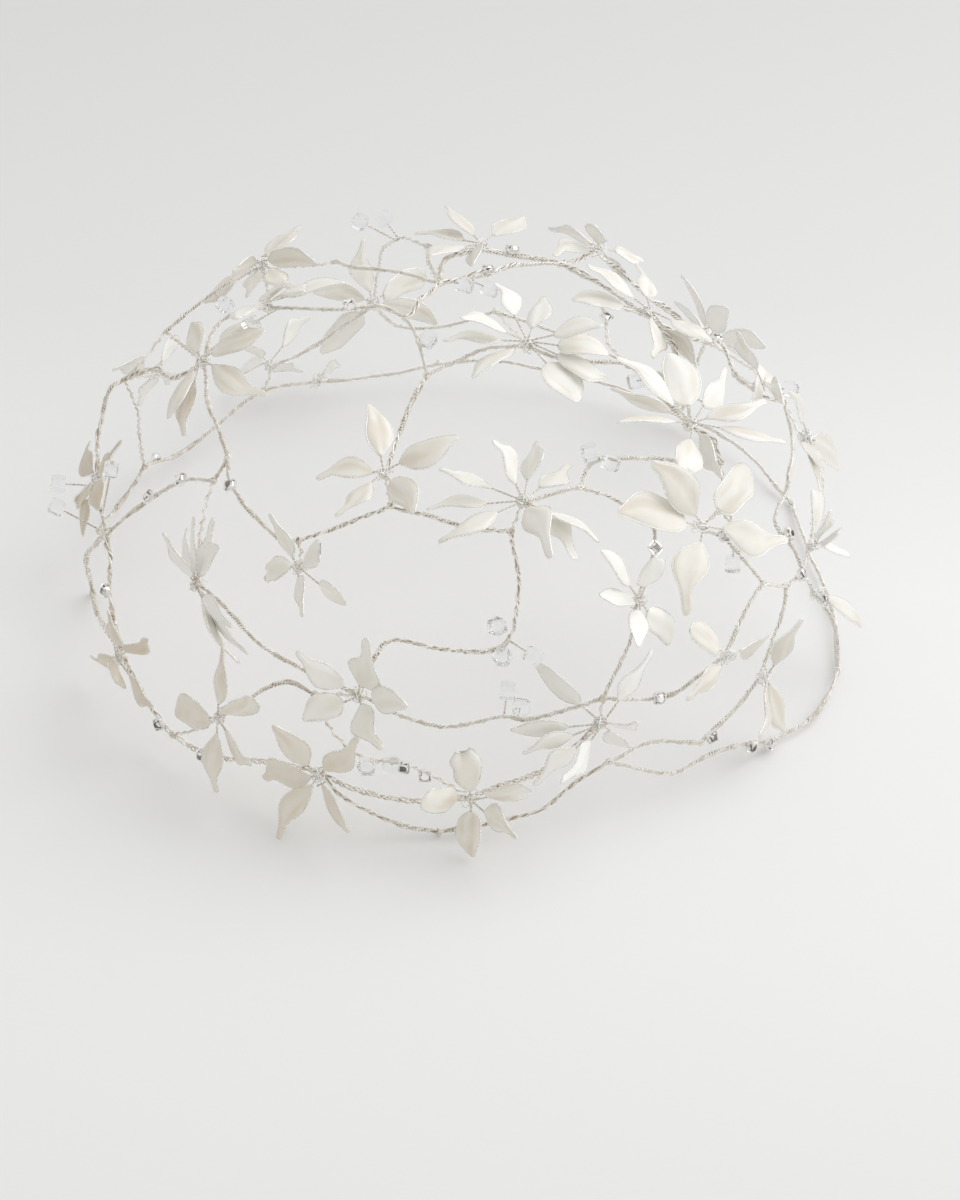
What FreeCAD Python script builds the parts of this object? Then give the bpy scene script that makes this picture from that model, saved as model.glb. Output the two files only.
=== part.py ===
import FreeCAD, Part
import math
import os
import Sketcher

# Flower crown: a domed cap of twisted silver wire with moulded petals on wire stems,
# set rhinestones and cube crystals.  Millimetres, +Z up.
# The origin is the centre of the head opening, in the plane the rim stands on.
# Places on the cap are (azimuth, latitude, lift): azimuth 0 is the front (-Y) and grows
# towards +X, latitude 0 is the rim and 90 the crown, lift is out from the cap's surface.

Vector = FreeCAD.Vector
Rotation = FreeCAD.Rotation
Placement = FreeCAD.Placement

doc = FreeCAD.newDocument("flower_crown")
sheet = doc.addObject("Spreadsheet::Sheet", "Sizes")

SIZES = [
    ("cap_radius", 90.0, "rim radius, for an adult head of about 565 mm"),
    ("cap_height", 78.0, "height of the crown over the rim"),
    ("cap_fullness", 2.15, "exponent of the cap's profile: 2 is an ellipse, more is squarer"),
    ("vine_radius", 0.5, "radius over two or three strands twisted together"),
    ("strand_radius", 0.3, "radius of a single strand"),
    ("stem_radius", 0.28, "radius of a petal's or crystal's own stem"),
    ("core_radius", 1.5, "wrapped binding at the middle of a flower"),
    ("core_length", 3.2, "height of that binding"),
    ("core_step", 0.8, "vines enter this far below its middle, stems leave this far above"),
    ("tie_radius", 1.0, "wrapped tie where vines meet"),
    ("tie_length", 1.8, "height of a tie"),
    ("seat_gap", 0.15, "clearance between a wire's end and the binding that holds it"),
    ("petal_thickness", 0.9, "thickness of a petal in its middle"),
    ("stone_radius", 1.45, "rhinestone, over its corners"),
    ("stone_height", 1.0, "height of the rhinestone over its cup's floor"),
    ("cup_wall", 0.3, "wall and floor of the rhinestone's cup"),
    ("cup_height", 1.0, "height of the cup"),
    ("stone_gap", 0.05, "clearance round the rhinestone in its cup"),
    ("crystal_side", 3.4, "side of a cube crystal"),
    ("crystal_chamfer", 0.5, "chamfer on the cube's edges"),
]

for row, (alias, value, note) in enumerate(SIZES, start=1):
    sheet.set("A%d" % row, alias)
    sheet.set("B%d" % row, str(value))
    sheet.set("C%d" % row, note)
    sheet.setAlias("B%d" % row, alias)
doc.recompute()


def size(alias):
    """One driving dimension, read from the sheet."""
    return float(sheet.get(alias))


# Petal outlines.  Each station is (part of the length, part of the half width,
# rise of the face as part of the length, thickness as part of the full one).
PETAL_FORMS = {
    "leaf": [(0.0, 0.30, 0.0, 0.6), (0.22, 0.82, 0.03, 1.0), (0.5, 1.0, 0.05, 1.0),
             (0.78, 0.66, 0.03, 0.9), (1.0, 0.12, -0.02, 0.5)],
    "broad": [(0.0, 0.28, 0.0, 0.6), (0.2, 0.80, 0.03, 1.0), (0.5, 1.0, 0.05, 1.0),
              (0.8, 0.84, 0.03, 0.9), (1.0, 0.40, -0.02, 0.6)],
}

# A vine is a twist of strands or a single strand: the alias of its radius.
TWIST = "vine_radius"
SINGLE = "strand_radius"

# Each flower: place of its binding, then its petals as
# (form, clock, pitch, reach, length, width, roll).  Clock 0 points to the crown and
# grows to the right as seen from outside, pitch lifts the petal off the cap, reach is
# the distance from the binding to the petal's root, roll turns it about its own length.
FLOWERS = {
    "left_shoulder": ((-95, 50, 1.5), [
        ("leaf", -104, 7, 3, 14, 5.5, -10),
        ("leaf", 2, -4, 3.5, 14.5, 6, 10),
        ("leaf", 41, -33, 4, 16.5, 6, 5),
        ("leaf", 111, -2, 4.5, 14.5, 6, 5),
        ("leaf", 110, -18, 6.5, 14, 6, 5),
        ("leaf", -54, -11, 7, 10.5, 6, 10),
    ]),
    "left_crest": ((-134.5, 47, 6.5), [
        ("leaf", -102, 10, 2.5, 16, 6, 15),
        ("leaf", 59, 4, 2.5, 15, 6, 30),
        ("leaf", -17, -21, 2.5, 14, 6, -65),
        ("leaf", 22, -28, 6.5, 13.5, 5.5, -10),
        ("leaf", -168, -19, 6.5, 13, 6, 0),
        ("leaf", 137, -10, 7, 10.5, 6, -30),
    ]),
    "left_crown": ((-112.5, 58.5, 1.5), [
        ("leaf", 31, 25, 5, 13, 6.5, 0),
        ("leaf", 21, 12, 4.5, 12.5, 5.5, -5),
        ("leaf", -14, -4, 5.5, 14.5, 6, 0),
        ("leaf", 80, 16, 3.5, 14, 6, -10),
    ]),
    "back_inner": ((-164.5, 21, 1.5), [
        ("leaf", 6, 25, 3, 15, 5.5, 10),
        ("broad", -100, 26, 4, 14.5, 7.5, -20),
        ("leaf", -111, -15, 3, 15.5, 5.5, -5),
        ("broad", 142, -4, 4.5, 16, 7, 10),
        ("leaf", 68, 7, 2.5, 14, 6, 0),
    ]),
    "back_top": ((173, 66.5, 1.5), [
        ("leaf", 142, 20, 3.5, 14, 5.5, 20),
        ("leaf", 115, 0, 5, 13.5, 6, -10),
        ("leaf", -153, 11, 5.5, 14, 6, 10),
        ("leaf", 31, 2, 6.5, 13.5, 6, 0),
        ("leaf", 2, -2, 2.5, 15, 5, 45),
    ]),
    "back_right_high": ((147.5, 50.5, 3.5), [
        ("leaf", 107, 2, 2.5, 15, 6, 30),
        ("leaf", -18, 18, 2.5, 14.5, 5.5, -15),
        ("leaf", 4, -14, 4.5, 15.5, 6, -15),
        ("leaf", -165, 1, 6.5, 11.5, 6, 30),
        ("leaf", 178, -15, 6.5, 13.5, 6, 10),
    ]),
    "back_right": ((106, 61, 1.5), [
        ("leaf", 10, 18, 5.5, 14, 5.5, -15),
        ("leaf", 3, -6, 7, 12.5, 6, 0),
        ("leaf", 96, 8, 5, 13.5, 5.5, 15),
        ("leaf", -78, -8, 3.5, 14.5, 5.5, -25),
        ("leaf", -119, -13, 6.5, 13.5, 6, -65),
        ("leaf", -119, 12, 6.5, 12, 6, 10),
    ]),
    "crown_back": ((51, 78, 1.5), [
        ("leaf", 20, 23, 7, 9, 5.5, 15),
        ("leaf", 63, -3, 5.5, 14, 5.5, -20),
        ("leaf", 150, 29, 6.5, 11.5, 6, 5),
        ("leaf", 149, 3, 7, 11.5, 6, 5),
        ("leaf", 161, -9, 7.5, 12.5, 5.5, 0),
        ("broad", -172, -17, 7, 11.5, 7.5, 0),
        ("leaf", -59, 31, 6.5, 13, 6, 5),
        ("leaf", -55, 8, 6.5, 13.5, 5.5, 10),
        ("leaf", -88, 1, 5, 14, 5.5, 25),
    ]),
    "crown_right": ((65, 52.5, 1.5), [
        ("leaf", -23, -1, 6, 15, 6, 70),
        ("leaf", -47, -3, 5, 15, 5.5, 40),
        ("leaf", -2, 4, 6, 16.5, 6, 5),
        ("broad", 42, 3, 4.5, 14.5, 8, -25),
        ("leaf", 86, 8, 6, 14, 5.5, 25),
        ("leaf", 125, 26, 3.5, 15, 5.5, -20),
        ("leaf", 160, 22, 6, 15.5, 5.5, -20),
        ("leaf", -131, 15, 5, 14, 6, -80),
        ("leaf", -107, 7, 6.5, 12, 5.5, 5),
    ]),
    "right_back": ((96.5, 41.5, 1.5), [
        ("leaf", -14, 22, 5.5, 14, 6, 30),
        ("leaf", 108, -7, 2.5, 15, 6, -5),
        ("leaf", -65, -1, 2.5, 14.5, 5.5, -30),
        ("leaf", -79, 18, 6.5, 14, 6, -30),
    ]),
    "right_edge": ((95.5, 29, 1.5), [
        ("leaf", 155, 1, 2.5, 19, 6, 30),
        ("leaf", -83, 4, 6, 12.5, 6.5, 25),
        ("leaf", -95, -3, 6.5, 13.5, 6, 10),
        ("leaf", -20, 10, 6.5, 13, 6, -25),
    ]),
    "right_edge_low": ((71.5, 24, 1.5), [
        ("leaf", -13, 23, 4.5, 13.5, 6, -15),
        ("leaf", -36, 36, 6.5, 13.5, 6, -45),
        ("leaf", 129, -1, 5.5, 14, 5.5, -50),
        ("leaf", -54, 39, 6.5, 14, 5.5, -50),
    ]),
    "right_large": ((48.5, 40.5, 1.5), [
        ("broad", -52, -5, 4.5, 17, 7.5, 5),
        ("broad", -18, 11, 3.5, 16, 7.5, -20),
        ("broad", 78, 2, 6, 14.5, 7.5, 5),
        ("broad", 132, 16, 4.5, 15.5, 7.5, -5),
        ("broad", -132, -7, 4, 17, 7.5, 15),
    ]),
    "right_small": ((30.5, 35, 1.5), [
        ("leaf", -35, 31, 6, 13.5, 5.5, 30),
        ("leaf", -8, 61, 6.5, 11.5, 6, -10),
        ("leaf", -70, 35, 4, 13.5, 5.5, 45),
        ("leaf", -131, 43, 4, 13, 5.5, -5),
        ("leaf", 147, -28, 4, 12.5, 6, 0),
    ]),
    "front_right": ((20.5, 18.5, 1.5), [
        ("leaf", -39, -13, 7, 13.5, 5.5, -55),
        ("leaf", -87, -13, 7.5, 12.5, 5.5, -35),
        ("leaf", -101, -5, 7, 11.5, 5.5, -30),
        ("leaf", -123, -1, 8, 12, 5.5, -15),
        ("leaf", -114, 36, 6, 13.5, 6, -20),
        ("leaf", 56, 65, 2.5, 10, 6, 25),
        ("leaf", 39, 10, 6.5, 13.5, 5.5, 25),
        ("leaf", 142, -33, 5, 13.5, 5.5, 60),
    ]),
    "right_low": ((43, 21, 1.5), [
        ("leaf", -41, 16, 5.5, 14, 5.5, 15),
        ("leaf", 102, -18, 5.5, 13.5, 5.5, 35),
        ("leaf", -95, 13, 4, 14, 5.5, -15),
    ]),
    "right_rim": ((49.5, 14, 1.5), [
        ("leaf", 27, 28, 3.5, 13, 6, -5),
        ("leaf", 170, 3, 2.5, 15, 6, -5),
        ("leaf", -116, 28, 3.5, 13.5, 6, -10),
    ]),
    "right_rim_leaf": ((68, 17.5, 1.5), [
        ("leaf", 151, 15, 3, 15, 4.5, -10),
    ]),
    "crown_left": ((-19, 57, 1.5), [
        ("leaf", -27, 2, 4, 13.5, 5.5, 25),
        ("leaf", 55, 12, 4, 14, 6, 0),
        ("leaf", -104, -7, 2.5, 13, 5.5, 15),
        ("leaf", -165, 25, 5, 13.5, 5.5, 25),
        ("leaf", 135, 24, 4.5, 13.5, 5.5, 25),
    ]),
    "crown_centre": ((14, 53, 1.5), [
        ("leaf", -31, 48, 5, 12, 5.5, 30),
        ("leaf", 24, -19, 6.5, 12, 5.5, -50),
        ("leaf", 55, -22, 6.5, 11.5, 5.5, -35),
        ("leaf", -59, 3, 7.5, 12, 5.5, 40),
        ("leaf", -83, -7, 8, 13, 5.5, 40),
        ("leaf", -106, -2, 6.5, 14.5, 5.5, 35),
        ("leaf", 175, 22, 2.5, 15, 5.5, 40),
        ("leaf", 152, 8, 4, 14, 6, -20),
        ("leaf", 136, 18, 6.5, 13.5, 5.5, -45),
    ]),
    "left_edge": ((-96, 19, 1.5), [
        ("leaf", -99, 15, 2.5, 15, 6, 10),
        ("leaf", 13, -11, 3, 13.5, 6, 5),
        ("leaf", -156, 6, 2.5, 14, 6, 30),
        ("leaf", 72, -8, 5, 14.5, 6, -15),
        ("leaf", -179, -5, 7, 11, 6, -25),
    ]),
    "left_spray": ((-47, 31.5, 1.5), [
        ("leaf", -9, 57, 2.5, 15, 6, -5),
        ("leaf", -62, -17, 3.5, 13, 5.5, -30),
        ("leaf", -4, 30, 3.5, 13.5, 5.5, -25),
        ("leaf", -5, 6, 2.5, 13, 5.5, -10),
        ("leaf", 37, 30, 5, 13.5, 5.5, -15),
        ("leaf", 132, -22, 3.5, 16.5, 5, 75),
        ("leaf", 114, -11, 4.5, 16, 5.5, 45),
        ("leaf", 97, 15, 5.5, 13.5, 5, 30),
    ]),
    "left_small": ((-29.5, 40.5, 1.5), [
        ("leaf", -36, 45, 2.5, 11.5, 5.5, -40),
        ("leaf", -105, -35, 3, 12, 5.5, 10),
        ("leaf", 70, 51, 5, 13.5, 5.5, -10),
        ("leaf", 135, 37, 4.5, 13.5, 5.5, 35),
        ("leaf", 108, 7, 7.5, 8, 5, 55),
    ]),
    "left_rim": ((-59.5, 11, 1.5), [
        ("leaf", 45, 2, 6.5, 12.5, 5.5, 60),
        ("leaf", -124, -4, 2.5, 15, 5.5, -40),
        ("leaf", 71, 28, 6.5, 14, 6, 35),
        ("leaf", 95, 0, 7, 11.5, 6, 10),
        ("leaf", 17, 20, 6.5, 12, 6, 10),
    ]),
    "front_left": ((-36.5, 13.5, 1.5), [
        ("broad", -113, -12, 3, 13, 7, 0),
        ("leaf", 0, 4, 4, 14.5, 5.5, -25),
        ("leaf", 44, 18, 4.5, 14, 5.5, 50),
        ("leaf", 168, 9, 3.5, 13.5, 6, 5),
        ("leaf", 95, 28, 5, 13.5, 6, 15),
    ]),
    "front_rim_left": ((-20, 9.5, 1.5), [
        ("leaf", -31, 21, 4, 13.5, 5.5, 5),
        ("broad", -116, -16, 2.5, 15, 7.5, -10),
        ("leaf", 36, 10, 3, 14, 5.5, 10),
        ("leaf", -155, 22, 2.5, 14.5, 5.5, 20),
        ("leaf", 122, 37, 2.5, 13, 5.5, 25),
    ]),
    "front_garland": ((-15, 24, 1.5), [
        ("leaf", -55, 22, 4, 13, 5, 5),
        ("broad", 11, 31, 4, 14, 7.5, -25),
        ("leaf", 77, 41, 6, 13, 5.5, 15),
        ("leaf", 132, 40, 2.5, 13, 5.5, -5),
        ("leaf", -120, 11, 3.5, 9.5, 6, 35),
    ]),
    "front_rim_centre": ((1.5, 8, 1.5), [
        ("leaf", -5, 18, 3.5, 14, 5.5, 5),
        ("leaf", -46, 45, 6.5, 13, 6, 20),
        ("leaf", -179, 23, 2.5, 10, 6, 40),
        ("leaf", 84, 61, 6, 12.5, 6, -5),
        ("leaf", 47, 38, 6.5, 14, 6, 15),
    ]),
    "left_back": ((-117, 28, 2.5), [
        ("leaf", 64, 15, 6, 14, 6, -10),
        ("leaf", -136, -6, 4.5, 14.5, 5.5, 55),
        ("leaf", -163, 0, 6.5, 13.5, 6, 15),
        ("leaf", -110, 5, 6, 14, 6, -20),
    ]),
    "back_left_inner": ((-147, 11, 1.5), [
        ("leaf", -78, 26, 6.5, 11.5, 6, -5),
        ("leaf", 180, 48, 4.5, 14.5, 6, -25),
        ("leaf", -132, 16, 4.5, 14, 5.5, 30),
        ("leaf", 35, -17, 6.5, 13.5, 5.5, -55),
    ]),
    "back_rim_leaf": ((-155.5, 4, 1.5), [
        ("leaf", -95, 25, 2.5, 7, 5, 10),
    ]),
    "back_low": ((133, 26, 1), [
        ("leaf", -30, 15, 3, 13, 5.5, 10),
        ("leaf", 35, 20, 3, 14, 6, -10),
        ("leaf", 93, 16, 3, 13.5, 5.5, 0),
        ("broad", 149, 20, 3, 12, 6.5, 20),
        ("leaf", -145, 15, 3, 14, 5.5, 0),
        ("leaf", -90, 20, 3.5, 12, 5.5, -15),
    ]),
    "right_inner": ((143, 7, 0.5), [
        ("leaf", 80, 5, 3.5, 8.5, 5, 10),
        ("leaf", -100, 5, 3.5, 8, 5, 40),
        ("leaf", -30, 20, 2.5, 8, 5, -40),
    ]),
}

TIES = {
    "left_fork": (-59, 49, 0.5),
    "left_knot": (-57.5, 45, 0.5),
    "left_tie": (-75.5, 23.5, 0.5),
    "crown_fork": (-18.5, 75, 0.5),
    "centre_fork": (10.5, 49, 0.5),
    "crown_right_fork": (28.5, 53.5, 0.5),
    "right_knot": (55.5, 37, 0.5),
    "garland_fork": (21.5, 22, 0.5),
    "right_fork": (56, 27, 0.5),
    "right_edge_tie": (67, 22.5, 0.5),
    "front_right_tie": (21.5, 11, 0.5),
    "hook_tie": (-22, 22.5, 0.5),
    "front_left_tie": (-46, 4.5, 0.5),
    "left_high_tie": (-107.5, 31, 6.5),
    "crest_tie": (-85.5, 82, 0.5),
    "small_flower_tie": (-32, 44, 0.5),
    "crown_left_tie": (-15.5, 52.5, 0.5),
    "right_low_tie": (61, 23.5, 0.5),
    "back_crest_tie": (144, 64.5, 0.5),
    "right_back_tie": (100, 34, 1.5),
    "crown_back_tie": (73.5, 64.5, 0.5),
    "right_rim_tie": (70.5, 0, 3.5),
    "left_hook_tie": (-116, 37, 6.5),
    "crest_fork": (-161, 80.5, 0.5),
    "back_left_tie": (-118.5, 4.5, 0.5),
    "back_rim_tie": (-145.5, 6, 0.5),
    "back_high_tie": (-169, 61.5, 0.5),
    "right_crest_tie": (95, 46.5, 0.5),
    "pinched_tie": (113, 67.5, 0.5),
    "back_tie": (-176, 4.5, 0.5),
    "back_mid_tie": (164, 4, 0.5),
    "back_right_tie": (142, 2, 0.5),
    "right_back_rim_tie": (114, 0, -0.5),
    "back_inner_tie": (174.5, 18, 0.5),
    "right_front_tie": (36.5, 8.5, 0.5),
    "right_arch_tie": (64, 45.5, 0.5),
    "crest_left_tie": (-145, 54.5, 0.5),
    "left_rim_tie": (-89.5, 0, -1),
    "right_front_rim_tie": (51.5, 0, 1.5),
    "front_rim_tie": (-3, 0, -0.5),
}

VINES = {
    "left_shoulder_vine": [
        ("left_shoulder", "left_fork", TWIST, [(-82.5, 50.5, 0), (-69, 50.5, 0)]),
        ("left_fork", "left_knot", TWIST, []),
        ("left_fork", "small_flower_tie", TWIST, [(-54.5, 46.5, 0), (-46.5, 45, 0), (-36, 43, 0)]),
        ("small_flower_tie", "left_small", SINGLE, []),
        ("left_knot", "left_tie", TWIST, [(-65, 41, 0), (-71, 32.5, 0)]),
        ("left_knot", "left_spray", SINGLE, [(-55, 41, 0), (-51.5, 36, 0)]),
    ],
    "front_garland_vine": [
        ("left_spray", "front_garland", TWIST, [(-40.5, 30, 0), (-31.5, 27, 0), (-23.5, 25.5, 0)]),
        ("garland_fork", "front_garland", TWIST,
         [(15, 21, 0), (9.5, 20.5, 0), (6, 21.5, 0), (-2, 20, 0), (-9, 21.5, 0)]),
        ("hook_tie", "front_left", TWIST, [(-26.5, 23, 0), (-30.5, 20.5, 0), (-34, 16.5, 0)]),
        ("hook_tie", "front_garland", SINGLE, []),
        ("front_left", "front_left_tie", SINGLE, [(-41, 9, 0.5)]),
    ],
    "crown_front_vine": [
        ("small_flower_tie", "crown_left_tie", TWIST, [(-24, 48.5, 0)]),
        ("crown_left_tie", "crown_left", SINGLE, []),
        ("crown_left", "crown_fork", TWIST, [(-19.5, 63, 0), (-20.5, 70, 0)]),
        ("crown_left_tie", "centre_fork", TWIST, [(-6.5, 51.5, 0), (3, 50, 0)]),
        ("centre_fork", "crown_centre", SINGLE, []),
        ("centre_fork", "front_garland", TWIST,
         [(10.5, 40.5, 0), (7, 32.5, 0), (-3, 32, 0), (-12, 32.5, 0)]),
    ],
    "crown_right_vine": [
        ("crown_centre", "crown_right_fork", TWIST, [(21.5, 53.5, 0)]),
        ("crown_right_fork", "right_arch_tie", TWIST, [(36.5, 56.5, 0), (49.5, 53, 0), (59, 47.5, 0)]),
        ("right_arch_tie", "right_knot", SINGLE, [(59, 41, 0)]),
        ("crown_right_fork", "right_small", TWIST, [(35, 50, 0), (39.5, 44.5, 0), (36.5, 39.5, 0)]),
        ("right_small", "garland_fork", TWIST, [(27.5, 29, 0)]),
    ],
    "right_front_vine": [
        ("right_large", "right_fork", TWIST, [(52.5, 37, 0), (54.5, 31.5, 0)]),
        ("right_large", "right_knot", SINGLE, [(54.5, 40.5, 1)]),
        ("right_fork", "right_low", TWIST, [(50, 25, 0)]),
        ("right_low", "garland_fork", TWIST, [(37, 19.5, 0), (31.5, 19, 0)]),
        ("right_fork", "right_low_tie", TWIST, []),
        ("right_low_tie", "right_edge_tie", TWIST, []),
        ("right_low_tie", "right_rim", TWIST, [(57.5, 19.5, 0)]),
        ("right_rim", "right_front_tie", TWIST, [(45, 11, 0)]),
        ("right_front_tie", "front_right_tie", TWIST, [(29, 12, 0)]),
    ],
    "rim_right": [
        ("right_edge_tie", "right_rim_leaf", TWIST, []),
        ("right_rim_tie", "right_front_rim_tie", TWIST, [(63, 0.5, 4.5), (56.5, 0.5, 4.5)]),
        ("right_front_rim_tie", "front_right_tie", TWIST, [(41, 4.5, 0), (31, 5, 0)]),
        ("right_rim_leaf", "right_rim_tie", TWIST, [(71.5, 8, 2)]),
    ],
    "rim_front": [
        ("front_right_tie", "front_rim_tie", TWIST, [(17, 8.5, 0), (10, 3.5, 0)]),
        ("front_rim_tie", "front_rim_left", TWIST, [(-9, 1.5, 0), (-16.5, 5.5, 0)]),
    ],
    "rim_front_upper": [
        ("front_rim_centre", "front_right", TWIST, [(5.5, 9.5, 0), (12, 11.5, 0), (16.5, 14.5, 0)]),
        ("front_right", "garland_fork", SINGLE, []),
        ("front_rim_left", "front_rim_centre", TWIST, [(-15, 7.5, 0), (-6.5, 6.5, 0)]),
        ("hook_tie", "front_rim_centre", SINGLE, [(-19, 17.5, 0), (-14, 13.5, 0), (-7, 13, 0)]),
    ],
    "rim_left": [
        ("front_left_tie", "left_rim", TWIST, [(-52.5, 6.5, 0)]),
        ("front_left_tie", "front_rim_left", TWIST, [(-38.5, 4.5, 0), (-29.5, 8, 0)]),
        ("left_rim", "left_rim_tie", TWIST, [(-71.5, 10, 0)]),
        ("left_rim_tie", "left_tie", TWIST, [(-84, 12, 0.5), (-79.5, 18.5, 0.5)]),
    ],
    "left_edge_vine": [
        ("left_rim", "left_tie", TWIST, [(-67, 15.5, 0), (-70.5, 20, 0)]),
        ("left_tie", "left_edge", TWIST, [(-84.5, 22, 0)]),
        ("left_edge", "left_high_tie", TWIST, [(-100.5, 24, 5), (-105, 29, 8)]),
        ("left_high_tie", "left_shoulder", TWIST, [(-106, 37, 3), (-98, 43, 0.5)]),
        ("left_high_tie", "left_back", SINGLE, []),
    ],
    "crest_left_vine": [
        ("left_shoulder", "left_crown", TWIST, [(-116, 45, 0), (-120, 48.5, 0)]),
        ("left_crown", "crest_tie", TWIST, [(-109, 66, 0), (-105.5, 72.5, 0), (-107, 77.5, 0)]),
        ("crest_tie", "crown_fork", TWIST, [(-55.5, 82, 0)]),
        ("left_crest", "left_hook_tie", TWIST, [(-127, 44, 6.5), (-121.5, 41, 6.5)]),
        ("left_hook_tie", "left_shoulder", SINGLE, []),
        ("left_hook_tie", "left_high_tie", SINGLE, [(-112.5, 35, 6)]),
        ("left_crest", "crest_left_tie", SINGLE, [(-141, 48.5, 2)]),
        ("crest_left_tie", "crest_fork", TWIST, [(-142.5, 64.5, 0), (-148.5, 72.5, 0)]),
        ("left_crown", "left_crest", SINGLE, []),
    ],
    "crest_back_vine": [
        ("crest_tie", "crest_fork", TWIST, [(-129.5, 82.5, 0)]),
        ("crest_fork", "back_crest_tie", TWIST, [(165, 77, 0), (155, 70, 0)]),
        ("back_crest_tie", "back_right", TWIST, [(127.5, 63.5, 0)]),
        ("back_crest_tie", "back_right_high", TWIST, []),
        ("crest_fork", "back_top", TWIST, [(-172, 73, 1.5)]),
        ("back_top", "back_crest_tie", TWIST, [(161, 65, 0)]),
        ("back_inner", "back_high_tie", SINGLE, [(-164, 33, 0), (-163, 45, 1), (-165, 55, 2)]),
        ("back_high_tie", "back_top", SINGLE, []),
        ("back_high_tie", "crest_fork", SINGLE, [(-165, 71, 0)]),
        ("back_right_high", "back_low", TWIST, [(144, 38, 0)]),
    ],
    "crown_back_vine": [
        ("crown_fork", "crown_back", TWIST, [(-4.5, 79, 0), (22, 81, 0)]),
        ("crown_back", "crown_back_tie", TWIST, [(57.5, 73, 0), (69, 68.5, 0)]),
        ("crown_back_tie", "crown_right", TWIST, [(70.5, 60.5, 0)]),
        ("crown_back_tie", "pinched_tie", SINGLE, [(81.5, 68, 0), (100.5, 68.5, 0)]),
        ("pinched_tie", "back_right", SINGLE, []),
    ],
    "right_shoulder_vine": [
        ("back_right", "crown_right", TWIST, [(96.5, 58.5, 0), (83, 56, 0)]),
        ("crown_right", "right_arch_tie", TWIST, [(68, 48.5, 0)]),
        ("back_right", "right_crest_tie", TWIST, [(102.5, 53.5, 0), (108.5, 45.5, 0)]),
        ("right_crest_tie", "right_back_tie", TWIST, [(94.5, 41, 0.5)]),
        ("right_crest_tie", "right_back", SINGLE, []),
        ("right_back_tie", "back_low", SINGLE, [(118, 29, 0)]),
    ],
    "right_edge_vine": [
        ("right_back_tie", "right_edge_tie", TWIST, [(90.5, 33, 0), (77.5, 33, 0), (66.5, 32.5, 0), (67.5, 26.5, 0)]),
        ("right_back_tie", "right_edge", SINGLE, []),
        ("right_edge", "right_edge_low", SINGLE, [(96.5, 18.5, 0.5)]),
        ("right_edge_low", "right_edge_tie", SINGLE, []),
    ],
    "rim_back": [
        ("left_tie", "back_left_tie", TWIST, [(-83, 19.5, -3), (-96, 8, -1), (-109, 3, 0)]),
        ("back_left_tie", "back_rim_tie", TWIST, [(-129.5, 1.5, 0), (-139.5, 4.5, 0)]),
        ("back_rim_tie", "back_rim_leaf", TWIST, [(-150, 6, 0)]),
        ("back_rim_leaf", "back_tie", TWIST, [(-166, 3, 0)]),
        ("back_tie", "back_mid_tie", TWIST, [(174, 5.5, 0)]),
        ("back_mid_tie", "back_right_tie", TWIST, [(153, 3.5, 0)]),
        ("back_right_tie", "right_back_rim_tie", TWIST, [(128, 2, 0)]),
        ("right_back_rim_tie", "right_rim_tie", TWIST, [(97.5, 0.5, -4), (84, 0.5, -1)]),
        ("back_low", "back_right_tie", TWIST, [(139, 12, 0)]),
    ],
    "back_inner_vine": [
        ("left_high_tie", "back_left_tie", SINGLE, [(-112, 22, 0.5), (-116, 12, 0)]),
        ("back_rim_tie", "back_left_inner", SINGLE, []),
        ("back_left_inner", "back_inner", TWIST, [(-152, 12.5, 0), (-158, 16, 0)]),
        ("back_inner", "back_inner_tie", TWIST, [(-169.5, 14.5, 0), (-178, 14.5, 0)]),
        ("back_inner_tie", "right_inner", TWIST, [(158.5, 12.5, 0)]),
        ("right_inner", "back_right_tie", SINGLE, []),
        ("back_inner_tie", "back_mid_tie", SINGLE, [(169, 10, 0)]),
    ],
}

RHINESTONES = [
    (-63, 39.5), (-64.5, 32.5), (-53, 44), (-97, 72.5), (-144, 49.5),
    (160.5, 66), (145, 79), (-49, 3), (-39.5, 6.5), (-7.5, 12),
    (-5.5, 10.5), (76, 58), (40, 40), (52, 37), (33, 45.5),
    (67.5, 15), (46, 2.5), (50, 0.5), (30.5, 20.5), (37, 11.5),
    (98.5, 71.5), (109, 48), (-71, 15), (65, 23.5), (62.5, 28.5),
    (-122, 3),
]

CRYSTALS = [
    (6, 35.5, 2.5), (6.5, 31, 2.5), (7, 26, 2.5), (11, 31, 5), (8.5, 24, 6),
    (-13, 13, 2.5), (-9.5, 14, 3), (50, 33.5, 2.5), (-156, 53, 8), (-161.5, 53.5, 7.5),
    (-93, 14, 9), (-93, 18.5, 10), (-30, 81, 2.5), (34, 57.5, 2.5), (37.5, 55, 2.5),
    (64.5, 62.5, 2.5), (107.5, 30, 3.5), (175, 84, 2.5), (141.5, 83.5, 2.5), (-100.5, 58.5, 2.5),
    (-123, 44.5, 2.5), (-84.5, 30, 2.5), (76, 25.5, 2.5),
]


# ---------------------------------------------------------------- the cap's surface

def cap_point(azimuth, latitude, lift=0.0):
    """Point on the cap, moved out from its centre by lift.

    The cap's base plane runs through the middle of the rim's ties, which stand on the floor.
    """
    turn, rise = math.radians(azimuth), math.radians(latitude)
    power = size("cap_fullness")
    out, up = abs(math.cos(rise)), abs(math.sin(rise))
    scale = (out ** power + up ** power) ** (-1.0 / power)
    point = Vector(size("cap_radius") * out * scale * math.sin(turn),
                   -size("cap_radius") * out * scale * math.cos(turn),
                   size("cap_height") * up * scale)
    return point * (1.0 + lift / point.Length) + Vector(0, 0, size("tie_radius"))


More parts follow.
